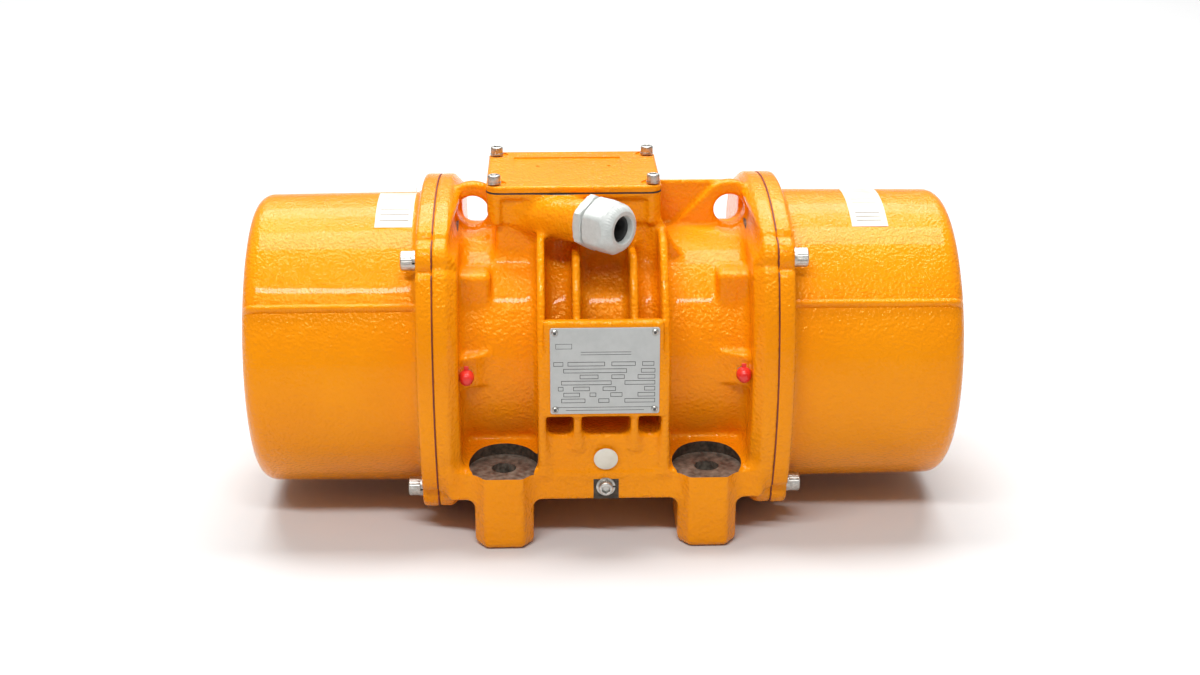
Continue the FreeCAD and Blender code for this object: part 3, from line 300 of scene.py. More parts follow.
class Field:
    """Signed distances in millimetres on a grid, negative inside the metal."""

    PAD = 14

    def __init__(self, low, high, step):
        self.step = step
        self.axes = [np.arange(a, b + step, step) for a, b in zip(low, high)]
        self.d = np.full([len(a) for a in self.axes], 30.0, np.float32)

    def window(self, low, high):
        """Slices and coordinates of the grid round a form's box."""
        cut = []
        for axis, a, b in zip(self.axes, low, high):
            first, last = np.searchsorted(axis, [a - self.PAD, b + self.PAD])
            cut.append(slice(int(first), int(last)))
        x, y, z = (axis[c] for axis, c in zip(self.axes, cut))
        return tuple(cut), x[:, None, None], y[None, :, None], z[None, None, :]

    def add(self, shape, k):
        """Joins a (low, high, distance) form to the metal, with a fillet of about k."""
        low, high, distance = shape
        cut, x, y, z = self.window(low, high)
        self.d[cut] = blend_min(self.d[cut], distance(x, y, z), k)

    def cut(self, shape, k):
        low, high, distance = shape
        cut, x, y, z = self.window(low, high)
        self.d[cut] = -blend_min(-self.d[cut], distance(x, y, z), k)

    def soften(self, sigma):
        """Rounds every edge a little: planes stay where they are."""
        reach = int(math.ceil(2.5 * sigma / self.step))
        taps = np.arange(-reach, reach + 1) * self.step
        weights = np.exp(-0.5 * (taps / sigma) ** 2)
        weights /= weights.sum()
        for axis in range(3):
            padding = [(0, 0)] * 3
            padding[axis] = (reach, reach)
            wide = np.pad(self.d, padding, mode="edge")
            total = np.zeros_like(self.d)
            size = self.d.shape[axis]
            for n, w in enumerate(weights):
                place = [slice(None)] * 3
                place[axis] = slice(n, n + size)
                total += np.float32(w) * wide[tuple(place)]
            self.d = total

    def sample(self, points):
        """Distances at any points, by trilinear interpolation."""
        low = np.array([a[0] for a in self.axes])
        g = (points - low) / self.step
        top = np.array(self.d.shape) - 2
        i = np.clip(np.floor(g).astype(int), 0, top)
        f = np.clip(g - i, 0, 1)
        total = np.zeros(len(points))
        for corner in range(8):
            o = np.array([(corner >> b) & 1 for b in range(3)])
            w = np.prod(np.where(o, f, 1 - f), axis=1)
            j = i + o
            total += w * self.d[j[:, 0], j[:, 1], j[:, 2]]
        return total

    def surface(self):
        """Vertices and quads of the zero surface, one vertex in each grid cell that it crosses."""
        d = self.d
        inside = d < 0
        shape = tuple(n - 1 for n in d.shape)
        count = np.zeros(shape, np.int8)
        offsets = [tuple((c >> b) & 1 for b in range(3)) for c in range(8)]
        for o in offsets:
            count += inside[tuple(slice(a, a + n) for a, n in zip(o, shape))]
        cells = np.argwhere((count > 0) & (count < 8))
        index = np.full(shape, -1, np.int32)
        index[tuple(cells.T)] = np.arange(len(cells))
        total = np.zeros((len(cells), 3))
        hits = np.zeros(len(cells))
        for a in offsets:
            for axis in range(3):
                if a[axis]:
                    continue
                b = tuple(1 if n == axis else c for n, c in enumerate(a))
                da = d[tuple((cells + a).T)]
                db = d[tuple((cells + b).T)]
                crosses = (da < 0) != (db < 0)
                share = np.where(crosses, da / np.where(crosses, da - db, 1), 0)
                point = np.array(a) + share[:, None] * (np.array(b) - a)
                total += np.where(crosses[:, None], point, 0)
                hits += crosses
        low = np.array([a[0] for a in self.axes])
        verts = low + self.step * (cells + total / hits[:, None])
        faces = []
        for axis in range(3):
            u, v = [(1, 2), (2, 0), (0, 1)][axis]
            first = [slice(None)] * 3
            second = [slice(None)] * 3
            first[axis] = slice(0, -1)
            second[axis] = slice(1, None)
            crosses = inside[tuple(first)] != inside[tuple(second)]
            edges = np.argwhere(crosses)
            ok = (edges[:, u] > 0) & (edges[:, v] > 0)
            ok &= (edges[:, u] < shape[u]) & (edges[:, v] < shape[v])
            edges = edges[ok]
            step_u = np.eye(3, dtype=int)[u]
            step_v = np.eye(3, dtype=int)[v]
            corners = [edges - step_u - step_v, edges - step_v, edges, edges - step_u]
            quads = np.stack([index[tuple(c.T)] for c in corners], axis=1)
            outward = inside[tuple(edges.T)]
            quads[~outward] = quads[~outward][:, ::-1]
            faces.append(quads)
        return self.settle(verts), np.concatenate(faces)

    def settle(self, verts):
        """Moves the vertices onto the surface along its slope."""
        for _ in range(2):
            here = self.sample(verts)
            slope = np.stack(
                [
                    self.sample(verts + self.step * 0.5 * axis)
                    - self.sample(verts - self.step * 0.5 * axis)
                    for axis in np.eye(3)
                ],
                axis=1,
            ) / self.step
            size = np.maximum((slope**2).sum(axis=1), 0.2)
            verts = verts - np.clip(here / size, -0.6, 0.6)[:, None] * slope
        return verts


def bar(low, high, r):
    """Rounded box."""
    centre = [(a + b) / 2 for a, b in zip(low, high)]
    half = [(b - a) / 2 - r for a, b in zip(low, high)]

    def distance(x, y, z):
        q = [abs(c - m) - h for c, m, h in zip((x, y, z), centre, half)]
        outside = np.sqrt(sum(np.maximum(c, 0) ** 2 for c in q))
        return outside + np.minimum(np.maximum(np.maximum(q[0], q[1]), q[2]), 0) - r

    return low, high, distance


def swept(axis, reach, flat, start, end, r):
    """Section run along an axis ("x", "y" or "z"); reach is the section's box, flat its distance."""
    n, across = swept_axes(axis)
    low = [0.0] * 3
    high = [0.0] * 3
    low[n], high[n] = start, end
    for m, limits in zip(across, reach):
        low[m], high[m] = limits
    middle, half = (start + end) / 2, (end - start) / 2

    def distance(x, y, z):
        c = (x, y, z)
        return rounded(flat(c[across[0]], c[across[1]]), abs(c[n] - middle) - half, r)

    return low, high, distance


def prism(axis, points, start, end, r):
    """Outline on the plane across an axis, run along it; its end edges are rounded."""
    reach = [(min(c), max(c)) for c in zip(*points)]
    return swept(axis, reach, lambda u, v: polygon_distance(points, u, v), start, end, r)


def rod(axis, centre, radius, start, end):
    """Cylinder along an axis; centre is its place on the plane across it."""
    a, b = centre
    reach = [(c - radius, c + radius) for c in centre]
    return swept(axis, reach, lambda u, v: np.hypot(u - a, v - b) - radius, start, end, 0.0)


def housing_flange(side):
    """Bulged square flange with a sloping inner rim."""
    points = [round_point(0, flange_radius(a), a)[1:] for a in circle_turns(180)]
    x0, x1 = span(FLANGE_IN, SPLIT, side)
    low = (x0, -FLANGE_HALF[0], AXIS_Z - FLANGE_HALF[1])
    high = (x1, FLANGE_HALF[0], AXIS_Z + FLANGE_HALF[1])

    def distance(x, y, z):
        flat = polygon_distance(points, y, z)
        inner = FLANGE_IN - side * x
        slab = np.maximum(inner, side * x - SPLIT)
        slope = (flat + FLANGE_SLOPE - (side * x - FLANGE_IN)) * math.sqrt(0.5)
        return np.maximum(rounded(flat, slab, 1.0), slope)

    return low, high, distance


def base_outline():
    half = [(BAND_Y, BAND_Z[0]), (BAND_Y, BAND_Z[1]), BASE_TOP]
    return half + [(-y, z) for y, z in reversed(half)]


def rib_outline(face, low_z, top):
    """Rib seen along the shaft, on the front (face -1) or the back (face 1); top is an angle."""
    low_y = BAND_Y + 0.5
    drop = RIB_START_Z - AXIS_Z
    start = math.degrees(math.atan2(drop, math.sqrt(RIB_R**2 - drop**2)))
    curve = arc(0, AXIS_Z, RIB_R, start, top, 14)
    points = [(INNER_Y, low_z), (low_y, low_z)] + curve + [(40, curve[-1][1])]
    return [(y * face, z) for y, z in points]


def gland_frame(x, y):
    """Distances from the gland's seat along its axis and to its side."""
    c, s, _ = GLAND_AXIS
    along = (x - GLAND[0]) * c + (y - GLAND[1]) * s
    aside = (y - GLAND[1]) * c - (x - GLAND[0]) * s
    return along, aside


def gland_boss():
    """Round boss that leaves the front of the terminal box on the slant, towards the right."""
    low = (-75, -90, 200)
    high = (8, -36, 240)

    def distance(x, y, z):
        along, aside = gland_frame(x, y)
        back = np.minimum(along, 0)
        rise = z - GLAND[2] - GLAND_BOSS_FALL * back
        away = np.hypot(aside, rise) - GLAND_BOSS_R - GLAND_BOSS_TAPER * back
        return rounded(away, np.maximum(along, -along - GLAND_BOSS_LONG), 1.0)

    return low, high, distance


def gland_seat():
    """Cylinder that clears the casting round the gland."""
    low = (-40, -110, 195)
    high = (20, -50, 240)

    def distance(x, y, z):
        along, aside = gland_frame(x, y)
        return np.maximum(np.hypot(aside, z - GLAND[2]) - GLAND_SEAT_R, -along)

    return low, high, distance


def eye_outline(side):
    """Lifting eye seen from the front: upright at the left, with a slanting edge at the right."""
    x, z = EYE
    low = EYE_FOOT
    ring = arc(x, z, EYE_R, 0, 180 if side < 0 else 135, 19)
    if side < 0:
        return [(-x - EYE_R, low), (-x + EYE_R, low)] + [(-px, pz) for px, pz in ring[::-1]]
    top_x, top_z = ring[-1]
    knee_x = top_x - top_z + RIGHT_EYE_KNEE
    return [(knee_x, low), (x + EYE_R, low)] + ring + [(knee_x, RIGHT_EYE_KNEE)]


def foot_outline(sx, sy):
    return [(FOOT[0] * sx + x, y * sy) for x, y in FOOT_OUTLINE]


def casting_field(step):
    """All forms of the main casting; the last number of each add is the fillet where it joins."""
    field = Field(GRID_LOW, GRID_HIGH, step)
    field.add(rod("x", (0, AXIS_Z), BARREL_R, -SPLIT, SPLIT), 0)
    field.add(prism("x", base_outline(), -BASE_HALF, BASE_HALF, 2), 7)
    for side in SIDES:
        field.add(housing_flange(side), 9)
    add_rib_cage(field)
    for side in SIDES:
        add_side_bosses(field, side)
    add_terminal_box(field)
    add_eyes(field)
    for sx, sy in CORNERS:
        field.add(prism("z", foot_outline(sx, sy), 0.0, BAND_Z[1] + 6, 5), 6)
    field.soften(EDGE_SOFTNESS)
    return field


def add_rib_cage(field):
    """Waist, four ribs each side and the pad under the nameplate."""
    low, high = WAIST_Z
    for face in SIDES:
        waist = [(INNER_Y, low), (BAND_Y - 0.5, low), (BAND_Y - 0.5, high), (INNER_Y, high)]
        waist = [(y * face, z) for y, z in waist]
        field.add(prism("x", waist, -WAIST_HALF, WAIST_HALF, 1.5), 3)
        for x in RIBS:
            outline = rib_outline(face, *(OUTER_RIB if x in (RIBS[0], RIBS[3]) else INNER_RIB))
            field.add(prism("x", outline, x - RIB_T / 2, x + RIB_T / 2, 2), 7)
    field.add(bar(*PAD_BOX, 1.5), 3)


def add_side_bosses(field, side):
    """Small bosses beside the flanges and the wedges that carry the grease nipples."""
    x0, x1 = span(*BOSS_X, side)
    for face in SIDES:
        y0, y1 = span(*BOSS_Y, face)
        field.add(bar((x0, y0, BOSS_Z[0]), (x1, y1, BOSS_Z[1]), 4), 2.5)
    field.add(prism("z", [(x * side, y) for x, y in WEDGE], *WEDGE_Z, 1.2), 3)


def add_eyes(field):
    """Lifting eyes with their ledges, the web beside the box and the scoops in the flanges."""
    ledge_top = EYE[1] - EYE_HOLE - 0.5
    near = EYE[0] - EYE_HOLE - 0.5
    front, back = LEDGE_Y
    field.add(bar((-FLANGE_IN - 1, front, LEDGE_Z), (-near, back, ledge_top), 1), 1.5)
    x = BOX_X[1]
    start, end = x + 8, FLANGE_IN + 1
    spread = [(start, -4), (end, front), (end, back), (start, 4)]
    field.add(prism("z", spread, LEDGE_Z, ledge_top, 1), 1.5)
    for side in SIDES:
        field.cut(rod("y", (EYE[0] * side, EYE[1]), EYE_HOLE + SCOOP_GROW, *SCOOP_Y), 3)
        field.add(prism("y", eye_outline(side), -EYE_HALF, EYE_HALF, 1.5), 2)
    field.add(bar((x - 8, WEB_Y[0], EYE_FOOT), (EYE[0] - 6, WEB_Y[1], WEB_TOP), 1), 0.8)
    for side in SIDES:
        field.cut(rod("y", (EYE[0] * side, EYE[1]), EYE_HOLE, -12, 12), 2.5)
    low, high = GUSSET_Z
    gusset = [(x - 6, high), (x, high), (x + 14, low), (x - 6, low)]
    field.add(prism("y", gusset, *GUSSET_Y, 1.5), 5)


def add_terminal_box(field):
    """Box on its neck, with corner posts round recessed walls, and the gland's boss."""
    x0, x1 = BOX_X
    top = BOX_Z[1] - 4
    neck = bar((x0 + 6, -BOX_NECK_Y, AXIS_Z + 40), (x1 - 6, BOX_NECK_Y, BOX_Z[0] + 3), 2)
    field.add(neck, 8)
    outline = rounded_rectangle(x0, x1, -BOX_Y, BOX_Y, BOX_CORNER)
    field.add(prism("z", outline, BOX_Z[0], BOX_Z[1] + 4, 2.5), 3)
    for face in SIDES:
        y0, y1 = span(BOX_Y - 3.5, BOX_Y + 8, face)
        field.cut(bar((x0 + BOX_POST, y0, 200), (x1 - BOX_POST, y1, top), 2), 3)
    for face, x in zip(SIDES, BOX_X):
        a, b = sorted((x - face * 2.5, x + face * 8))
        field.cut(bar((a, -BOX_Y + BOX_POST, 205), (b, BOX_Y - BOX_POST, top), 2), 3)
    field.add(gland_boss(), 7)
    field.cut(gland_seat(), 0)


def rounded_rectangle(u0, u1, v0, v1, r):
    points = arc(u1 - r, v1 - r, r, 0, 90, 7)
    points += arc(u0 + r, v1 - r, r, 90, 180, 7)
    points += arc(u0 + r, v0 + r, r, 180, 270, 7)
    points += arc(u1 - r, v0 + r, r, 270, 360, 7)
    return points


def cylinder_part(axis, centre, radius, start, end, count):
    """Closed cylinder as a cutter."""
    n, across = swept_axes(axis)
    verts = []
    for level in (start, end):
        for a in circle_turns(count):
            p = [0.0] * 3
            p[n] = level
            p[across[0]] = centre[0] + radius * math.cos(a)
            p[across[1]] = centre[1] + radius * math.sin(a)
            verts.append(tuple(p))
    faces = grid_faces(2, count)
    faces.append(tuple(range(count))[::-1])
    faces.append(tuple(range(count, 2 * count)))
    if n == 1:
        faces = [f[::-1] for f in faces]
    return verts, faces


BOX_FACES = [(0, 1, 3, 2), (4, 6, 7, 5), (0, 4, 5, 1), (2, 3, 7, 6), (0, 2, 6, 4), (1, 5, 7, 3)]


def box_part(low, high):
    verts = [(x, y, z) for x in (low[0], high[0]) for y in (low[1], high[1]) for z in (low[2], high[2])]
    return verts, BOX_FACES


def boolean(obj, parts, material, name):
    """Cuts closed parts from a piece; the cut faces get the material."""
    verts, faces = merge(parts)
    mesh = bpy.data.meshes.new(name)
    mesh.from_pydata([tuple(c * MM for c in v) for v in verts], [], faces)
    mesh.materials.append(material)
    cutter = bpy.data.objects.new(name, mesh)
    bpy.context.scene.collection.objects.link(cutter)
    modifier = obj.modifiers.new(name, "BOOLEAN")
    modifier.operation = "DIFFERENCE"
    modifier.solver = "EXACT"
    modifier.object = cutter
    modifier.material_mode = "TRANSFER"
    apply_modifiers(obj)
    bpy.data.objects.remove(cutter)


def repaint_upright(obj, old, new):
    """Gives the upright faces of one material another one: painted shade on upright walls."""
    slots = obj.data.materials
    slots.append(new)
    index = slots.find(old.name)
    for face in obj.data.polygons:
        if face.material_index == index and abs(face.normal.z) < 0.5:
            face.material_index = len(slots) - 1


def apply_modifiers(obj):
    graph = bpy.context.evaluated_depsgraph_get()
    mesh = bpy.data.meshes.new_from_object(obj.evaluated_get(graph))
    old = obj.data
    obj.modifiers.clear()
    obj.data = mesh
    bpy.data.meshes.remove(old)


# ---- materials


def material(name):
    mat = bpy.data.materials.new(name)
    mat.use_nodes = True
    return mat, mat.node_tree.nodes["Principled BSDF"]


def grey(value):
    return value, value, value


def settings(node, **values):
    """Sets input sockets; an underscore stands for a space in the socket's name."""
    for name, value in values.items():
        node.inputs[name.replace("_", " ")].default_value = value


def add_node(mat, kind, **values):
    node = mat.node_tree.nodes.new("ShaderNode" + kind)
    settings(node, **values)
    return node


def noise(mat, scale, detail, rough):
    place = add_node(mat, "TexCoord")
    texture = add_node(mat, "TexNoise", Scale=scale, Detail=detail, Roughness=rough)
    mat.node_tree.links.new(place.outputs["Object"], texture.inputs["Vector"])
    return texture.outputs["Fac"]


def bump(mat, source, target, strength, distance):
    node = add_node(mat, "Bump", Strength=strength, Distance=distance)
    mat.node_tree.links.new(source, node.inputs["Height"])
    mat.node_tree.links.new(node.outputs["Normal"], target.inputs["Normal"])
    return node


def ramp(mat, source, target, stops):
    node = add_node(mat, "ValToRGB")
    for element, (place, colour) in zip(node.color_ramp.elements, stops):
        element.position = place
        element.color = (*colour, 1)
    mat.node_tree.links.new(source, node.inputs["Fac"])
    mat.node_tree.links.new(node.outputs["Color"], target)


def orange_paint(name, peel=0.55, grain=430):
    """Glossy enamel over a sand-cast skin: fine orange peel over broader lumps."""
    mat, shader = material(name)
    broad = noise(mat, 9, 3, 0.5)
    deep, bright = (0.80, 0.24, 0.002), (0.88, 0.29, 0.003)
    ramp(mat, broad, shader.inputs["Base Color"], [(0.3, deep), (0.7, bright)])
    ramp(mat, broad, shader.inputs["Roughness"], [(0.3, grey(0.13)), (0.75, grey(0.2))])
    lumps = bump(mat, noise(mat, 95, 2, 0.5), shader, 0.2, 0.004)
    bump(mat, noise(mat, grain, 1.5, 0.4), lumps, peel, 0.002)
    settings(shader, Specular_IOR_Level=0.3, Specular_Tint=(1.0, 0.72, 0.2, 1))
    settings(shader, Coat_Weight=0.15, Coat_Roughness=0.04)
    return mat


def metal(name, dark, light, scale, rough, relief=0.1, metallic=1.0):
    """Mottled finish between two colours; with metallic at 0 it serves for plastic and paper."""
    mat, shader = material(name)
    pattern = noise(mat, scale, 4, 0.6)
    gloss = [(0.3, grey(rough * 0.8)), (0.7, grey(rough * 1.2))]
    ramp(mat, pattern, shader.inputs["Base Color"], [(0.35, dark), (0.65, light)])
    ramp(mat, pattern, shader.inputs["Roughness"], gloss)
    bump(mat, pattern, shader, relief, 0.0006)
    settings(shader, Metallic=metallic)
    return mat


PAINT = orange_paint("orange_enamel")
CAP_PAINT = orange_paint("orange_enamel_cap", 0.45, 470)
ZINC = metal("zinc_plate", (0.42, 0.41, 0.38), (0.66, 0.65, 0.61), 420, 0.38)
BARE = metal("bare_machined_iron", (0.09, 0.07, 0.055), (0.27, 0.235, 0.19), 240, 0.45, 0.3, 0.35)
# Near-black iron: the real dark square under the earth screw, and painted shade on the upright walls of the
# machined cuts.
DARK_IRON_AND_WALL_SHADE = metal("dark_iron_and_painted_shade", (0.02, 0.015, 0.01), (0.09, 0.07, 0.05), 300, 0.6, 0.5, 0.2)
GROUND = metal("ground_steel", grey(0.45), grey(0.6), 200, 0.25)
DARK_STEEL = metal("dark_steel", (0.08, 0.08, 0.085), (0.16, 0.16, 0.17), 160, 0.4)
BRASS = metal("brass", (0.55, 0.38, 0.12), (0.72, 0.52, 0.2), 150, 0.35)
POLYAMIDE = metal("grey_polyamide", (0.47, 0.49, 0.47), (0.54, 0.56, 0.54), 300, 0.42, 0.08, 0.0)
RUBBER = metal("black_rubber", grey(0.012), grey(0.03), 300, 0.7, 0.1, 0.0)
RED = metal("red_cap", (0.62, 0.02, 0.015), (0.75, 0.035, 0.025), 200, 0.3, 0.05, 0.0)
PLATE = metal("plate_aluminium", (0.44, 0.45, 0.44), (0.50, 0.51, 0.50), 90, 0.45, 0.03, 0.5)
INK = metal("plate_ink", grey(0.05), grey(0.09), 400, 0.5, 0.02, 0.0)
PAPER = metal("white_label", (0.60, 0.55, 0.45), (0.70, 0.66, 0.57), 60, 0.45, 0.02, 0.0)
JOINT = metal("joint_sealant", (0.13, 0.012, 0.006), (0.22, 0.03, 0.01), 90, 0.5, 0.1, 0.0)
COPPER = metal("varnished_copper", (0.25, 0.07, 0.02), (0.42, 0.14, 0.05), 300, 0.4, 0.4, 0.3)


# ---- painted castings


def machine_ends(piece):
    """Through bore, spigots and flange faces."""
    middle = (0, AXIS_Z)
    bores = [cylinder_part("x", middle, BORE_R, -SPLIT - 1, SPLIT + 1, 96)]
    ends = []
    for side in SIDES:
        bores.append(cylinder_part("x", middle, SPIGOT_R, *span(SPIGOT_STEP, SPLIT + 1, side), 96))
        x0, x1 = span(SPLIT, SPLIT + 12, side)
        ends.append(box_part((x0, -130, -12), (x1, 130, BEYOND)))
    boolean(piece, bores, BARE, "bores")
    boolean(piece, ends, BARE, "faces")


def machine_feet(piece):
    """Bare spot faces with the bolt holes; every upright machined face so far gets near-black iron as painted
    shade.
    """
    places = [(FOOT[0] * sx, FOOT[1] * sy) for sx, sy in CORNERS]
    spots = [cylinder_part("z", place, SPOT_R, BAND_Z[1], SPOT_TOP, 64) for place in places]
    boolean(piece, spots, BARE, "spot_faces")
    # Painted shade: upright machined walls turn near-black while the floors stay lighter.
    repaint_upright(piece, BARE, DARK_IRON_AND_WALL_SHADE)
    holes = [cylinder_part("z", place, FOOT_HOLE_R, -5, 70, 40) for place in places]
    boolean(piece, holes, BARE, "foot_holes")


def machine_box(piece):
    """Flat rim and open inside of the terminal box."""
    x0, x1 = BOX_X
    rim = box_part((x0 - 5, -60, BOX_Z[1]), (x1 + 5, 60, BEYOND))
    boolean(piece, [rim], BARE, "box_rim")
    boolean(piece, [box_part(*BOX_INSIDE)], PAINT, "box_inside")


def housing():
    """The main casting, cut where the real one is machined."""
    field = casting_field(GRID_STEP)
    verts, faces = field.surface()
    piece = new_object("housing_casting", (verts.tolist(), faces.tolist()), PAINT)
    trim = piece.modifiers.new("fewer", "DECIMATE")
    trim.ratio = KEPT_FACES
    apply_modifiers(piece)
    machine_ends(piece)
    machine_feet(piece)
    machine_box(piece)
    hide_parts("stator_housing")
    piece.data.shade_smooth()
    mark_sharp(piece, 40)


def cap_turns():
    """Directions round the shaft, closer together where the two cast lines run."""
    turns = set(np.linspace(0, 2 * math.pi, CAP_TURNS, endpoint=False).tolist())
    for centre in (LINE_TURN, math.pi - LINE_TURN):
        turns.update((centre + np.linspace(-LINE_REACH, LINE_REACH, 15)).tolist())
    return sorted(turns)


def line_share(turn):
    """Height of the cast line at this turn, from 0 to 1."""
    away = min(abs(turn - LINE_TURN), abs(turn - (math.pi - LINE_TURN)))
    return math.cos(min(away / LINE_HALF, 1) * math.pi / 2) ** 0.7


def cap_rows():
    """Rings of the skin: place along the shaft, on the flange or the cup, radius, share of the line.

    On the flange the radius is what comes off its outline.
    """
    end = SPLIT + CAP_FLANGE
    rims = [
        (SPLIT, -1.0), (SPLIT + 0.3, -0.3), (SPLIT + 1.2, 0), (end - 2.5, 0),
        (end - 1.0, -0.5), (end - 0.2, -1.8), (end, -3.2),
    ]
    rows = [(along, True, grow, 0) for along, grow in rims]
    for n in range(5):
        a = math.radians(90 * n / 4)
        along = end + CAP_FILLET - CAP_FILLET * math.cos(a)
        rows.append((along, False, CAP_R + CAP_FILLET - CAP_FILLET * math.sin(a), n / 4))
    for n in range(1, 9):
        along = end + CAP_FILLET + (CAP_END - CAP_EDGE - end - CAP_FILLET) * n / 8
        rows.append((along, False, CAP_R + (CAP_END_R - CAP_R) * n / 8, 1))
    for n in range(1, 10):
        a = math.radians(90 * n / 9)
        along = CAP_END - CAP_EDGE + CAP_EDGE * math.sin(a)
        radius = CAP_END_R - CAP_EDGE * (1 - math.cos(a))
        rows.append((along, False, radius, min(1, max(0, 1.6 - n / 5))))
    return rows + [(CAP_END, False, radius, 0) for radius in (60, 30, 8)]


def cap(name, side):
    """End cap: one skin that runs from the square flange into the round cup, and its inside."""
    turns = cap_turns()
    count = len(turns)
    rows = cap_rows()
    near_flange = SPLIT + CAP_FLANGE + 4
    verts = []
    for along, on_flange, value, share in rows:
        for turn in turns:
            if on_flange:
                radius = flange_radius(turn) + value
            else:
                radius = value
                if along < near_flange:
                    radius = min(value, flange_radius(turn) - CAP_RIM_GAP)
                radius += LINE_HEIGHT * share * line_share(turn)
            verts.append(round_point(along * side, radius, turn))
    faces = grid_faces(len(rows), count, flip=side > 0)
    end = [(len(rows) - 1) * count + n for n in range(count)]
    faces.append(tuple(end if side > 0 else end[::-1]))
    inside = [(CAP_END - CAP_WALL, 0.5), (CAP_END - CAP_WALL, 88), (CAP_END - 5.5, 97)]
    inside += [(CAP_END - CAP_EDGE, CAP_END_R - CAP_WALL), (SPLIT, CAP_R - CAP_WALL)]
    start = len(verts)
    for along, radius in inside:
        verts += [round_point(along * side, radius, turn) for turn in turns]
    for face in grid_faces(len(inside), count, flip=side > 0):
        faces.append(tuple(i + start for i in face))
    rim = start + (len(inside) - 1) * count
    for n in range(count):
        m = (n + 1) % count
        quad = (rim + n, rim + m, m, n)
        faces.append(quad[::-1] if side > 0 else quad)
    hub = [start + n for n in range(count)]
    faces.append(tuple(hub[::-1] if side > 0 else hub))
    piece = new_object(f"{name}_cap_shell", (verts, faces), CAP_PAINT, 50)
    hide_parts(f"{name}_end_cap")


# ---- fittings


def along(origin, axis):
    """Matrix that puts the X axis of a lathed form on an axis in space."""
    turn = Vector(axis).to_track_quat("X", "Z").to_matrix().to_4x4()
    return Matrix.Translation(Vector(origin)) @ turn


def rings(profile, count):
    """Skin through rings of points; each ring is (along, radius), where radius may be a function."""
    verts = []
    for place, radius in profile:
        for a in circle_turns(count):
            r = radius(a) if callable(radius) else radius
            verts.append((place, r * math.cos(a), r * math.sin(a)))
    return verts, grid_faces(len(profile), count, flip=True)


def solid_rings(profile, count):
    """Skin through rings, closed at both ends."""
    verts, faces = rings(profile, count)
    last = len(verts) - count
    return verts, faces + [tuple(range(count)), tuple(range(last, last + count))[::-1]]


def hollow_rings(profile, count):
    """Skin through rings whose last one joins the first."""
    verts, faces = rings(profile, count)
    return verts, close_rings(faces, len(profile), count)


def close_rings(faces, rows, count):
    last = (rows - 1) * count
    extra = []
    for n in range(count):
        m = (n + 1) % count
        extra.append((n, m, last + m, last + n))
    return faces + extra


def open_strip(verts, rows):
    """Square-section strip along rows of four points, with its two ends closed."""
    ends = [(3, 2, 1, 0), tuple(range(4 * rows - 4, 4 * rows))]
    return verts, grid_faces(rows, 4) + ends


def hexagon(across):
    """Radius of a hexagon, from its width across the flats."""
    return lambda a: across / 2 / math.cos((a + math.pi / 6) % (math.pi / 3) - math.pi / 6)


def limited(first, second):
    """Smaller of two radii, such as a hexagon's and the chamfer's across its corners."""
    return lambda a: min(first(a), second)


def socket_head(radius, height, socket):
    """Knurled head of a socket screw, from its seat at 0."""

    def knurl(a):
        return radius - 0.07 * radius * (0.5 + 0.5 * math.cos(a * 24))

    bore = hexagon(socket)
    profile = [
        (0, radius - 0.9), (0, radius - 0.3), (0.3, knurl), (height - 0.9, knurl),
        (height - 0.5, radius - 0.25), (height - 0.1, radius - 0.7), (height, radius - 1.1),
        (height, lambda a: bore(a) + 0.25), (height - 0.3, bore), (height * 0.45, bore),
        (height * 0.4, 0.4),
    ]
    return solid_rings(profile, 96)


def split_washer(inner, outer, thickness):
    """Spring washer: a square-section ring with a gap, its two ends a little apart."""
    count = 44
    section = [(0, inner), (0, outer), (thickness, outer), (thickness, inner)]
    verts = []
    for n in range(count):
        a = math.radians(6 + 348 * n / (count - 1))
        lift = 0.25 * thickness * (n / (count - 1) - 0.5)
        verts += [(place + lift, r * math.cos(a), r * math.sin(a)) for place, r in section]
    return open_strip(verts, count)


def screws(name, nodes, places, axis, washer, head, height, socket):
    """One piece with all the heads of a set of screws, and one with their spring washers."""
    lifted = Matrix.Translation((washer, 0, 0))
    seats = [along(place, axis) for place in places]
    heads = [moved(socket_head(head, height, socket), seat @ lifted) for seat in seats]
    rounds = [moved(split_washer(head * 0.55, head + 0.3, washer), seat) for seat in seats]
    for label, groups, node in zip(("heads", "rings"), (heads, rounds), nodes):
        piece = new_object(f"{name}_{label}", merge(groups), ZINC, 35)
        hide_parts(node)


def cap_screw_set(name, side):
    """Four M8 socket screws that hold an end cap."""
    low, high = (Vector(c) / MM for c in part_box(f"{name}_cap_washers"))
    head = 6.5
    half = [(high[n] - low[n]) / 2 - head - 0.3 for n in (1, 2)]
    middle = (low + high) / 2
    seat = low.x if side > 0 else high.x
    places = [(seat, middle.y + half[0] * sy, middle.z + half[1] * sz) for sy, sz in CORNERS]
    nodes = (f"{name}_cap_screws", f"{name}_cap_washers")
    screws(f"{name}_cap_screw", nodes, places, (side, 0, 0), high.x - low.x, head, 8, 6)


def cover_screw_set():
    """Four M5 socket screws that hold the box cover; returns their places."""
    low, high = (Vector(c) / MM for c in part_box("cover_washers"))
    inset = 4.6
    places = [
        (x, y, low.z) for x in (low.x + inset, high.x - inset) for y in (low.y + inset, high.y - inset)
    ]
    nodes = ("cover_screws", "cover_washers")
    screws("cover_screw", nodes, places, (0, 0, 1), high.z - low.z, 4.4, 5, 4)
    return places


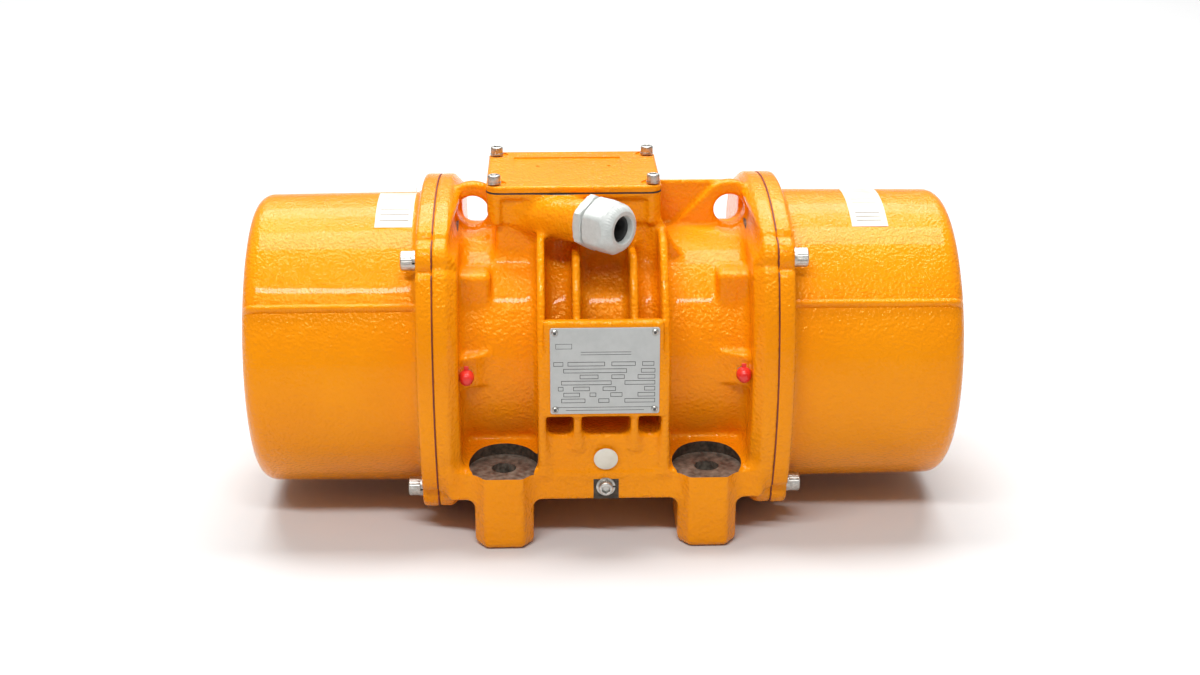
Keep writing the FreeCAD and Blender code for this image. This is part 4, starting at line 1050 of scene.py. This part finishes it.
def cover(places):
    """Cast cover with a shallow panel, relief round the screws and soft edges."""
    low, high = (Vector(c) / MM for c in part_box("terminal_box_cover"))
    levels = [
        (low.z, 0.6), (low.z + 0.2, 0.1), (low.z + 0.6, 0), (high.z - 1.6, 0),
        (high.z - 0.8, 0.25), (high.z - 0.2, 0.9), (high.z, 2.0),
    ]
    verts = []
    for z, inset in levels:
        sides = (low.x + inset, high.x - inset, low.y + inset, high.y - inset)
        verts += [(x, y, z) for x, y in rounded_rectangle(*sides, 9 - inset)]
    piece = new_object("box_cover_casting", stacked(verts, len(levels)), CAP_PAINT)
    above = high.z + 2
    middle = (low.y + high.y) / 2
    panel_low = (low.x + 18, middle - 21, high.z - 0.8)
    cuts = [box_part(panel_low, (high.x - 25.5, middle + 32, above))]
    for x, y, _ in places:
        cuts.append(cylinder_part("z", (x, y), 8.2, high.z - 1.0, above, 40))
        cuts.append(cylinder_part("z", (x, y), 3, low.z - 1, above, 24))
    for x in (-44.7, 6.0):
        cuts.append(cylinder_part("z", (x, 9.2), 1.5, high.z - 1.8, above, 20))
    for n, part in enumerate(cuts):
        boolean(piece, [part], CAP_PAINT, f"cover_cut_{n}")
    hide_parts("terminal_box_cover")
    mark_sharp(piece, 35)


def nose_ribs(radius):
    """Fine ribs round the gland nut's nose."""
    return lambda a: radius - 0.3 * (0.5 + 0.5 * math.cos(a * 48))


def gland():
    """Polyamide gland: hexagon against the boss, dome nut with a ribbed nose, and its seal."""
    place = along(GLAND, GLAND_AXIS)
    count = 192
    flats = hexagon(GLAND_ACROSS)
    body = [
        (0.05, 11), (0.05, limited(flats, 16.6)), (0.8, limited(flats, 18.2)), (1.8, flats),
        (5.6, flats), (6.4, limited(flats, 18.2)), (7.0, limited(flats, 16.6)), (7.1, 14.4),
        (8.4, 14.4), (8.5, 11),
    ]
    piece = new_object("gland_hex_body", moved(hollow_rings(body, count), place), POLYAMIDE, 20)
    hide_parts("gland_body")
    nut = [
        (8.0, 11.5), (8.0, limited(flats, 16.4)), (8.6, limited(flats, 17.8)),
        (9.8, limited(flats, 18.8)), (21.5, limited(flats, 18.9)), (23.8, limited(flats, 18.1)),
        (25.6, limited(flats, 17.0)), (26.4, 16.3), (27.6, nose_ribs(15.9)), (29.0, nose_ribs(15.0)),
        (30.2, nose_ribs(13.7)), (30.9, 12.4), (31.0, 10.2), (30.4, 9.4), (26.8, 8.9), (26.7, 11.5),
    ]
    piece = new_object("gland_dome_nut", moved(hollow_rings(nut, count), place), POLYAMIDE, 20)
    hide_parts("gland_nut")
    seal = [(10.5, 10.8), (10.5, 7), (24.6, 7), (26, 7.5), (26.6, 8.4), (26.6, 10.8)]
    piece = new_object("gland_seal_ring", moved(hollow_rings(seal, count), place), RUBBER, 20)
    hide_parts("gland_seal")


def frame_box(u0, u1, v0, v1, width):
    """Four thin strips of a printed field, as (u0, u1, v0, v1)."""
    return [
        (u0, u1, v0, v0 + width),
        (u0, u1, v1 - width, v1),
        (u0, u0 + width, v0 + width, v1 - width),
        (u1 - width, u1, v0 + width, v1 - width),
    ]


# Empty printed fields of the nameplate: height of a row, then its fields' ends, as shares of the plate
PLATE_FIELDS = [
    (0.56, [(0.03, 0.12), (0.16, 0.50), (0.56, 0.78), (0.84, 0.95)]),
    (0.48, [(0.12, 0.70), (0.83, 0.96)]),
    (0.41, [(0.27, 0.44), (0.56, 0.68), (0.80, 0.96)]),
    (0.34, [(0.10, 0.56), (0.68, 0.96)]),
    (0.27, [(0.07, 0.12), (0.21, 0.36), (0.48, 0.60), (0.86, 0.96)]),
    (0.20, [(0.12, 0.27), (0.36, 0.42), (0.55, 0.66), (0.80, 0.96)]),
    (0.13, [(0.10, 0.32), (0.44, 0.54), (0.68, 0.96)]),
]
PLATE_RULES = [(0.075, 0.06, 0.94), (0.04, 0.14, 0.86), (0.72, 0.28, 0.74), (0.69, 0.28, 0.74)]


def nameplate():
    """Plain data plate with rounded corners, empty printed fields and four rivets."""
    low, high = (Vector(c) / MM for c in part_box("nameplate"))
    points = rounded_rectangle(low.x, high.x, low.z, high.z, 1.5)
    cx, cz = (low.x + high.x) / 2, (low.z + high.z) / 2
    verts = []
    for y, inset in ((high.y, 0), (low.y + 0.15, 0), (low.y, 0.15)):
        scale = 1 - inset / ((high.x - low.x) / 2)
        verts += [(cx + (x - cx) * scale, y, cz + (z - cz) * scale) for x, z in points]
    piece = new_object("data_plate", stacked(verts, 3), PLATE, 30)
    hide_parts("nameplate")
    plate_fields(low, high)
    plate_rivets()


def plate_fields(low, high):
    width = high.x - low.x
    height = high.z - low.z
    strips = []
    for level, fields in PLATE_FIELDS:
        v = low.z + level * height
        for a, b in fields:
            strips += frame_box(low.x + a * width, low.x + b * width, v, v + 0.05 * height, 0.4)
    for level, a, b in PLATE_RULES:
        v = low.z + level * height
        strips.append((low.x + a * width, low.x + b * width, v, v + 0.35))
    strips += frame_box(
        low.x + 0.05 * width, low.x + 0.20 * width, low.z + 0.76 * height, low.z + 0.82 * height, 0.3
    )
    parts = [box_part((a, low.y - 0.04, c), (b, low.y + 0.1, d)) for a, b, c, d in strips]
    piece = new_object("data_plate_fields", merge(parts), INK, smooth=False)


def plate_rivets():
    """Hollow rivet heads at the corners of the data plate, with a near-black plug as painted shade in each hollow.
    """
    low, high = (Vector(c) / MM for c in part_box("nameplate_rivets"))
    radius = 2.2
    tall = high.y - low.y
    profile = [
        (0, radius), (0.35 * tall, radius), (0.8 * tall, radius * 0.8), (tall, radius * 0.55),
        (tall * 0.95, radius * 0.48), (tall * 0.4, radius * 0.46), (tall * 0.35, 0.05),
    ]
    # Painted shade: near-black plugs of the ink material fill the bottom of each rivet's hollow.
    shade_plug = [(tall * 0.3, 1.0), (tall * 0.55, 1.0), (tall * 0.6, 0.8)]
    heads = []
    shade_plugs = []
    for x in (low.x + radius, high.x - radius):
        for z in (low.z + radius, high.z - radius):
            matrix = along((x, high.y, z), FRONT)
            heads.append(moved(solid_rings(profile, 32), matrix))
            shade_plugs.append(moved(solid_rings(shade_plug, 20), matrix))
    new_object("plate_rivet_painted_shade", merge(shade_plugs), INK)
    piece = new_object("plate_rivet_heads", merge(heads), ZINC, 40)
    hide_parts("nameplate_rivets")


def curved_label(name, x0, x1, start, end, radius):
    """Paper label that follows the round of a cap, angles in degrees up from the front."""
    rows = 24
    thick = 0.16
    verts = []
    for n in range(rows):
        a = math.radians(start + (end - start) * n / (rows - 1))
        for x, r in ((x0, radius), (x1, radius), (x1, radius + thick), (x0, radius + thick)):
            verts.append((x, -r * math.cos(a), AXIS_Z + r * math.sin(a)))
    new_object(name, open_strip(verts, rows), PAPER, 30)


def label_lines(name, x0, x1, angles, radius):
    """Faint empty rules across a label."""
    groups = []
    width = 0.35
    for a in angles:
        c, s = math.cos(math.radians(a)), math.sin(math.radians(a))
        corners = []
        for r in (radius, radius + 0.2):
            for t in (-width, width):
                corners.append((-(r * c - t * s), AXIS_Z + r * s + t * c))
        groups.append(([(x, y, z) for x in (x0, x1) for y, z in corners], BOX_FACES))
    new_object(name, merge(groups), INK, smooth=False)


def labels():
    curved_label("left_cap_label", -157, -130, 65, 97, CAP_R - 0.1)
    curved_label("right_cap_label", 172, 197, 63.5, 99, CAP_R - 0.35)
    label_lines("left_label_rules", -154, -134, (69, 73, 77), CAP_R - 0.1)
    label_lines("right_label_rules", 176, 193, (67, 69.5, 72, 80, 83), CAP_R - 0.35)


def front_round_label():
    """Round paper label on the sloping band above the earth screw."""
    tilt = math.radians(7)
    slope = (0, -math.cos(tilt), -math.sin(tilt))
    disc = solid_rings([(0, 8.2), (0.25, 8.2), (0.3, 8.0)], 48)
    new_object("round_label", moved(disc, along((0, -106.7, 64), slope)), PAPER, 30)


EARTH_PATCH = [(-8.4, -9.4), (8.9, -9.4), (8.9, 9.6), (-8.4, 9.6)]
EARTH_Y = -105.2
EARTH_RING = 1.2


def earth_point():
    """Square of bare iron under the earth screw, with a split ring and a socket head."""
    low, high = (Vector(c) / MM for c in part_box("earth_screw"))
    x = (low.x + high.x) / 2
    z = (low.z + high.z) / 2
    verts = [(x + u, y, z + v) for y in (EARTH_Y, -104.0) for u, v in EARTH_PATCH]
    faces = grid_faces(2, 4) + [(3, 2, 1, 0), (4, 5, 6, 7)]
    patch = (verts, [face[::-1] for face in faces])
    piece = new_object("earth_patch", patch, DARK_IRON_AND_WALL_SHADE, smooth=False)
    matrix = along((x, EARTH_Y, z), FRONT)
    ring_piece = new_object("earth_ring", moved(split_washer(3.4, 6.5, EARTH_RING), matrix), ZINC, 35)
    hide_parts("earth_washer")
    matrix = along((x, EARTH_Y - EARTH_RING, z), FRONT)
    head = new_object("earth_head", moved(socket_head(5.0, 4.8, 5), matrix), ZINC, 35)
    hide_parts("earth_screw")


def nipple(name):
    """Grease nipple and its red cap with a pull tab."""
    low, high = (Vector(c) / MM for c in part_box(f"{name}_grease_nipple"))
    x = (low.x + high.x) / 2
    z = (low.z + high.z) / 2 + NIPPLE_SHIFT[1]
    matrix = along((x, high.y + NIPPLE_SHIFT[0], z), FRONT)
    reach = high.y - low.y
    flats = hexagon(8)
    profile = [(0, flats), (3.2, flats), (3.4, 3.2), (5.0, 2.4), (reach - 1.5, 2.6), (reach, 1.6)]
    piece = new_object(f"{name}_nipple_stem", moved(solid_rings(profile, 48), matrix), ZINC, 35)
    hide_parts(f"{name}_grease_nipple")
    low, high = (Vector(c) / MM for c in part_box(f"{name}_nipple_cap"))
    tall = high.y - low.y
    radius = (high.x - low.x) / 2
    root = high.y + NIPPLE_SHIFT[0]
    matrix = along((x, root, z), FRONT)
    profile = [
        (0, radius * 0.7), (0, radius * 0.96), (0.8, radius), (tall * 0.25, radius),
        (tall * 0.35, radius * 0.9), (tall * 0.75, radius * 0.86), (tall * 0.93, radius * 0.66),
        (tall, radius * 0.3),
    ]
    dome = moved(solid_rings(profile, 40), matrix)
    tab = box_part((x - 1.6, root - 2.2, z + radius * 0.7), (x + 1.6, root - 1.0, z + radius + 2.6))
    cap_piece = new_object(f"{name}_nipple_red_cap", merge([dome, tab]), RED)
    soften_edges(cap_piece, 0.35)
    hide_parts(f"{name}_nipple_cap")


def soften_edges(obj, width):
    modifier = obj.modifiers.new("edge", "BEVEL")
    modifier.width = width * MM
    modifier.segments = 2
    modifier.limit_method = "ANGLE"
    modifier.angle_limit = math.radians(40)
    apply_modifiers(obj)


def joint_line(name, side):
    """Thin line of sealing paint where a cap meets the housing."""
    count = 240
    half = 0.5
    verts = []
    for x, grow in ((-half, -1.4), (-half, -0.25), (half, -0.25), (half, -1.4)):
        for a in circle_turns(count):
            verts.append(round_point((SPLIT + x) * side, flange_radius(a) + grow, a))
    faces = close_rings(grid_faces(4, count, flip=True), 4, count)
    if side < 0:
        faces = [face[::-1] for face in faces]
    new_object(f"{name}_joint_line", (verts, faces), JOINT)


# ---- scene


def aim(obj, place, target):
    obj.location = place
    obj.rotation_mode = "QUATERNION"
    obj.rotation_quaternion = (Vector(target) - Vector(place)).to_track_quat("-Z", "Y")


LENS = 54.43
CAMERA_PLACE = (-0.03872, -1.24515, 0.56033)
CAMERA_TARGET = (-0.00077, 0, 0.11387)

# Name: place, target, size in metres, power in watts
LIGHTS = {
    "key": ((-0.3, -1.25, 1.8), (0, 0, 0.12), (1.6, 0.14), 31),
    "top": ((0.0, 0.3, 2.0), (0, 0, 0.1), (1.9, 0.6), 42),
    "far_floor": ((0.0, 2.3, 2.4), (0, 2.6, 0), (3.2, 1.4), 95),
}
WORLD_STRENGTH = 0.25
FLOOR_HALF = 8
FLOOR_GREY = 0.66


def camera():
    data = bpy.data.cameras.new("camera")
    data.lens = LENS
    data.sensor_width = 36
    cam = bpy.data.objects.new("camera", data)
    bpy.context.scene.collection.objects.link(cam)
    aim(cam, CAMERA_PLACE, CAMERA_TARGET)
    bpy.context.scene.camera = cam
    bpy.context.scene.view_settings.view_transform = "Standard"


def area_light(name, place, target, size, power):
    data = bpy.data.lights.new(name, "AREA")
    data.shape = "RECTANGLE"
    data.size, data.size_y = size
    data.energy = power
    lamp = bpy.data.objects.new(name, data)
    bpy.context.scene.collection.objects.link(lamp)
    aim(lamp, place, target)


def studio():
    """White world, three lights and a pale floor."""
    world = bpy.data.worlds.new("studio")
    bpy.context.scene.world = world
    world.use_nodes = True
    settings(world.node_tree.nodes["Background"], Color=(1, 1, 1, 1), Strength=WORLD_STRENGTH)
    for name, values in LIGHTS.items():
        area_light(name, *values)
    mesh = bpy.data.meshes.new("floor")
    corners = [(-1, -1), (1, -1), (1, 1), (-1, 1)]
    mesh.from_pydata([(x * FLOOR_HALF, y * FLOOR_HALF, 0) for x, y in corners], [], [(0, 1, 2, 3)])
    floor = bpy.data.objects.new("floor", mesh)
    bpy.context.scene.collection.objects.link(floor)
    mat, shader = material("pale_floor")
    settings(shader, Base_Color=(*grey(FLOOR_GREY), 1), Roughness=0.8)
    mesh.materials.append(mat)


CAD_FINISH = {
    "orange_paint": PAINT,
    "zinc_steel": ZINC,
    "bare_iron": BARE,
    "ground_steel": GROUND,
    "spring_steel": DARK_STEEL,
    "weight_steel": DARK_STEEL,
    "core_steel": GROUND,
    "winding_resin": COPPER,
    "cast_aluminium": GROUND,
    "cage_brass": BRASS,
    "stud_brass": BRASS,
    "black_rubber": RUBBER,
    "board_plastic": RUBBER,
    "grey_polyamide": POLYAMIDE,
    "red_plastic": RED,
    "plate_metal": PLATE,
}


def finish_cad_nodes():
    """CAD pieces that stay as they are get their slot's material."""
    for part in frame["record"]["subparts"]:
        obj = NODES[part["node"]]
        finish = CAD_FINISH[part["material_slot"]]
        if not obj.data.materials:
            obj.data.materials.append(finish)
        for place in obj.material_slots:
            place.material = finish


camera()
studio()
finish_cad_nodes()
housing()
for end, end_side in (("left", -1), ("right", 1)):
    cap(end, end_side)
    cap_screw_set(end, end_side)
    joint_line(end, end_side)
    nipple(end)
cover(cover_screw_set())
gland()
nameplate()
labels()
front_round_label()
earth_point()
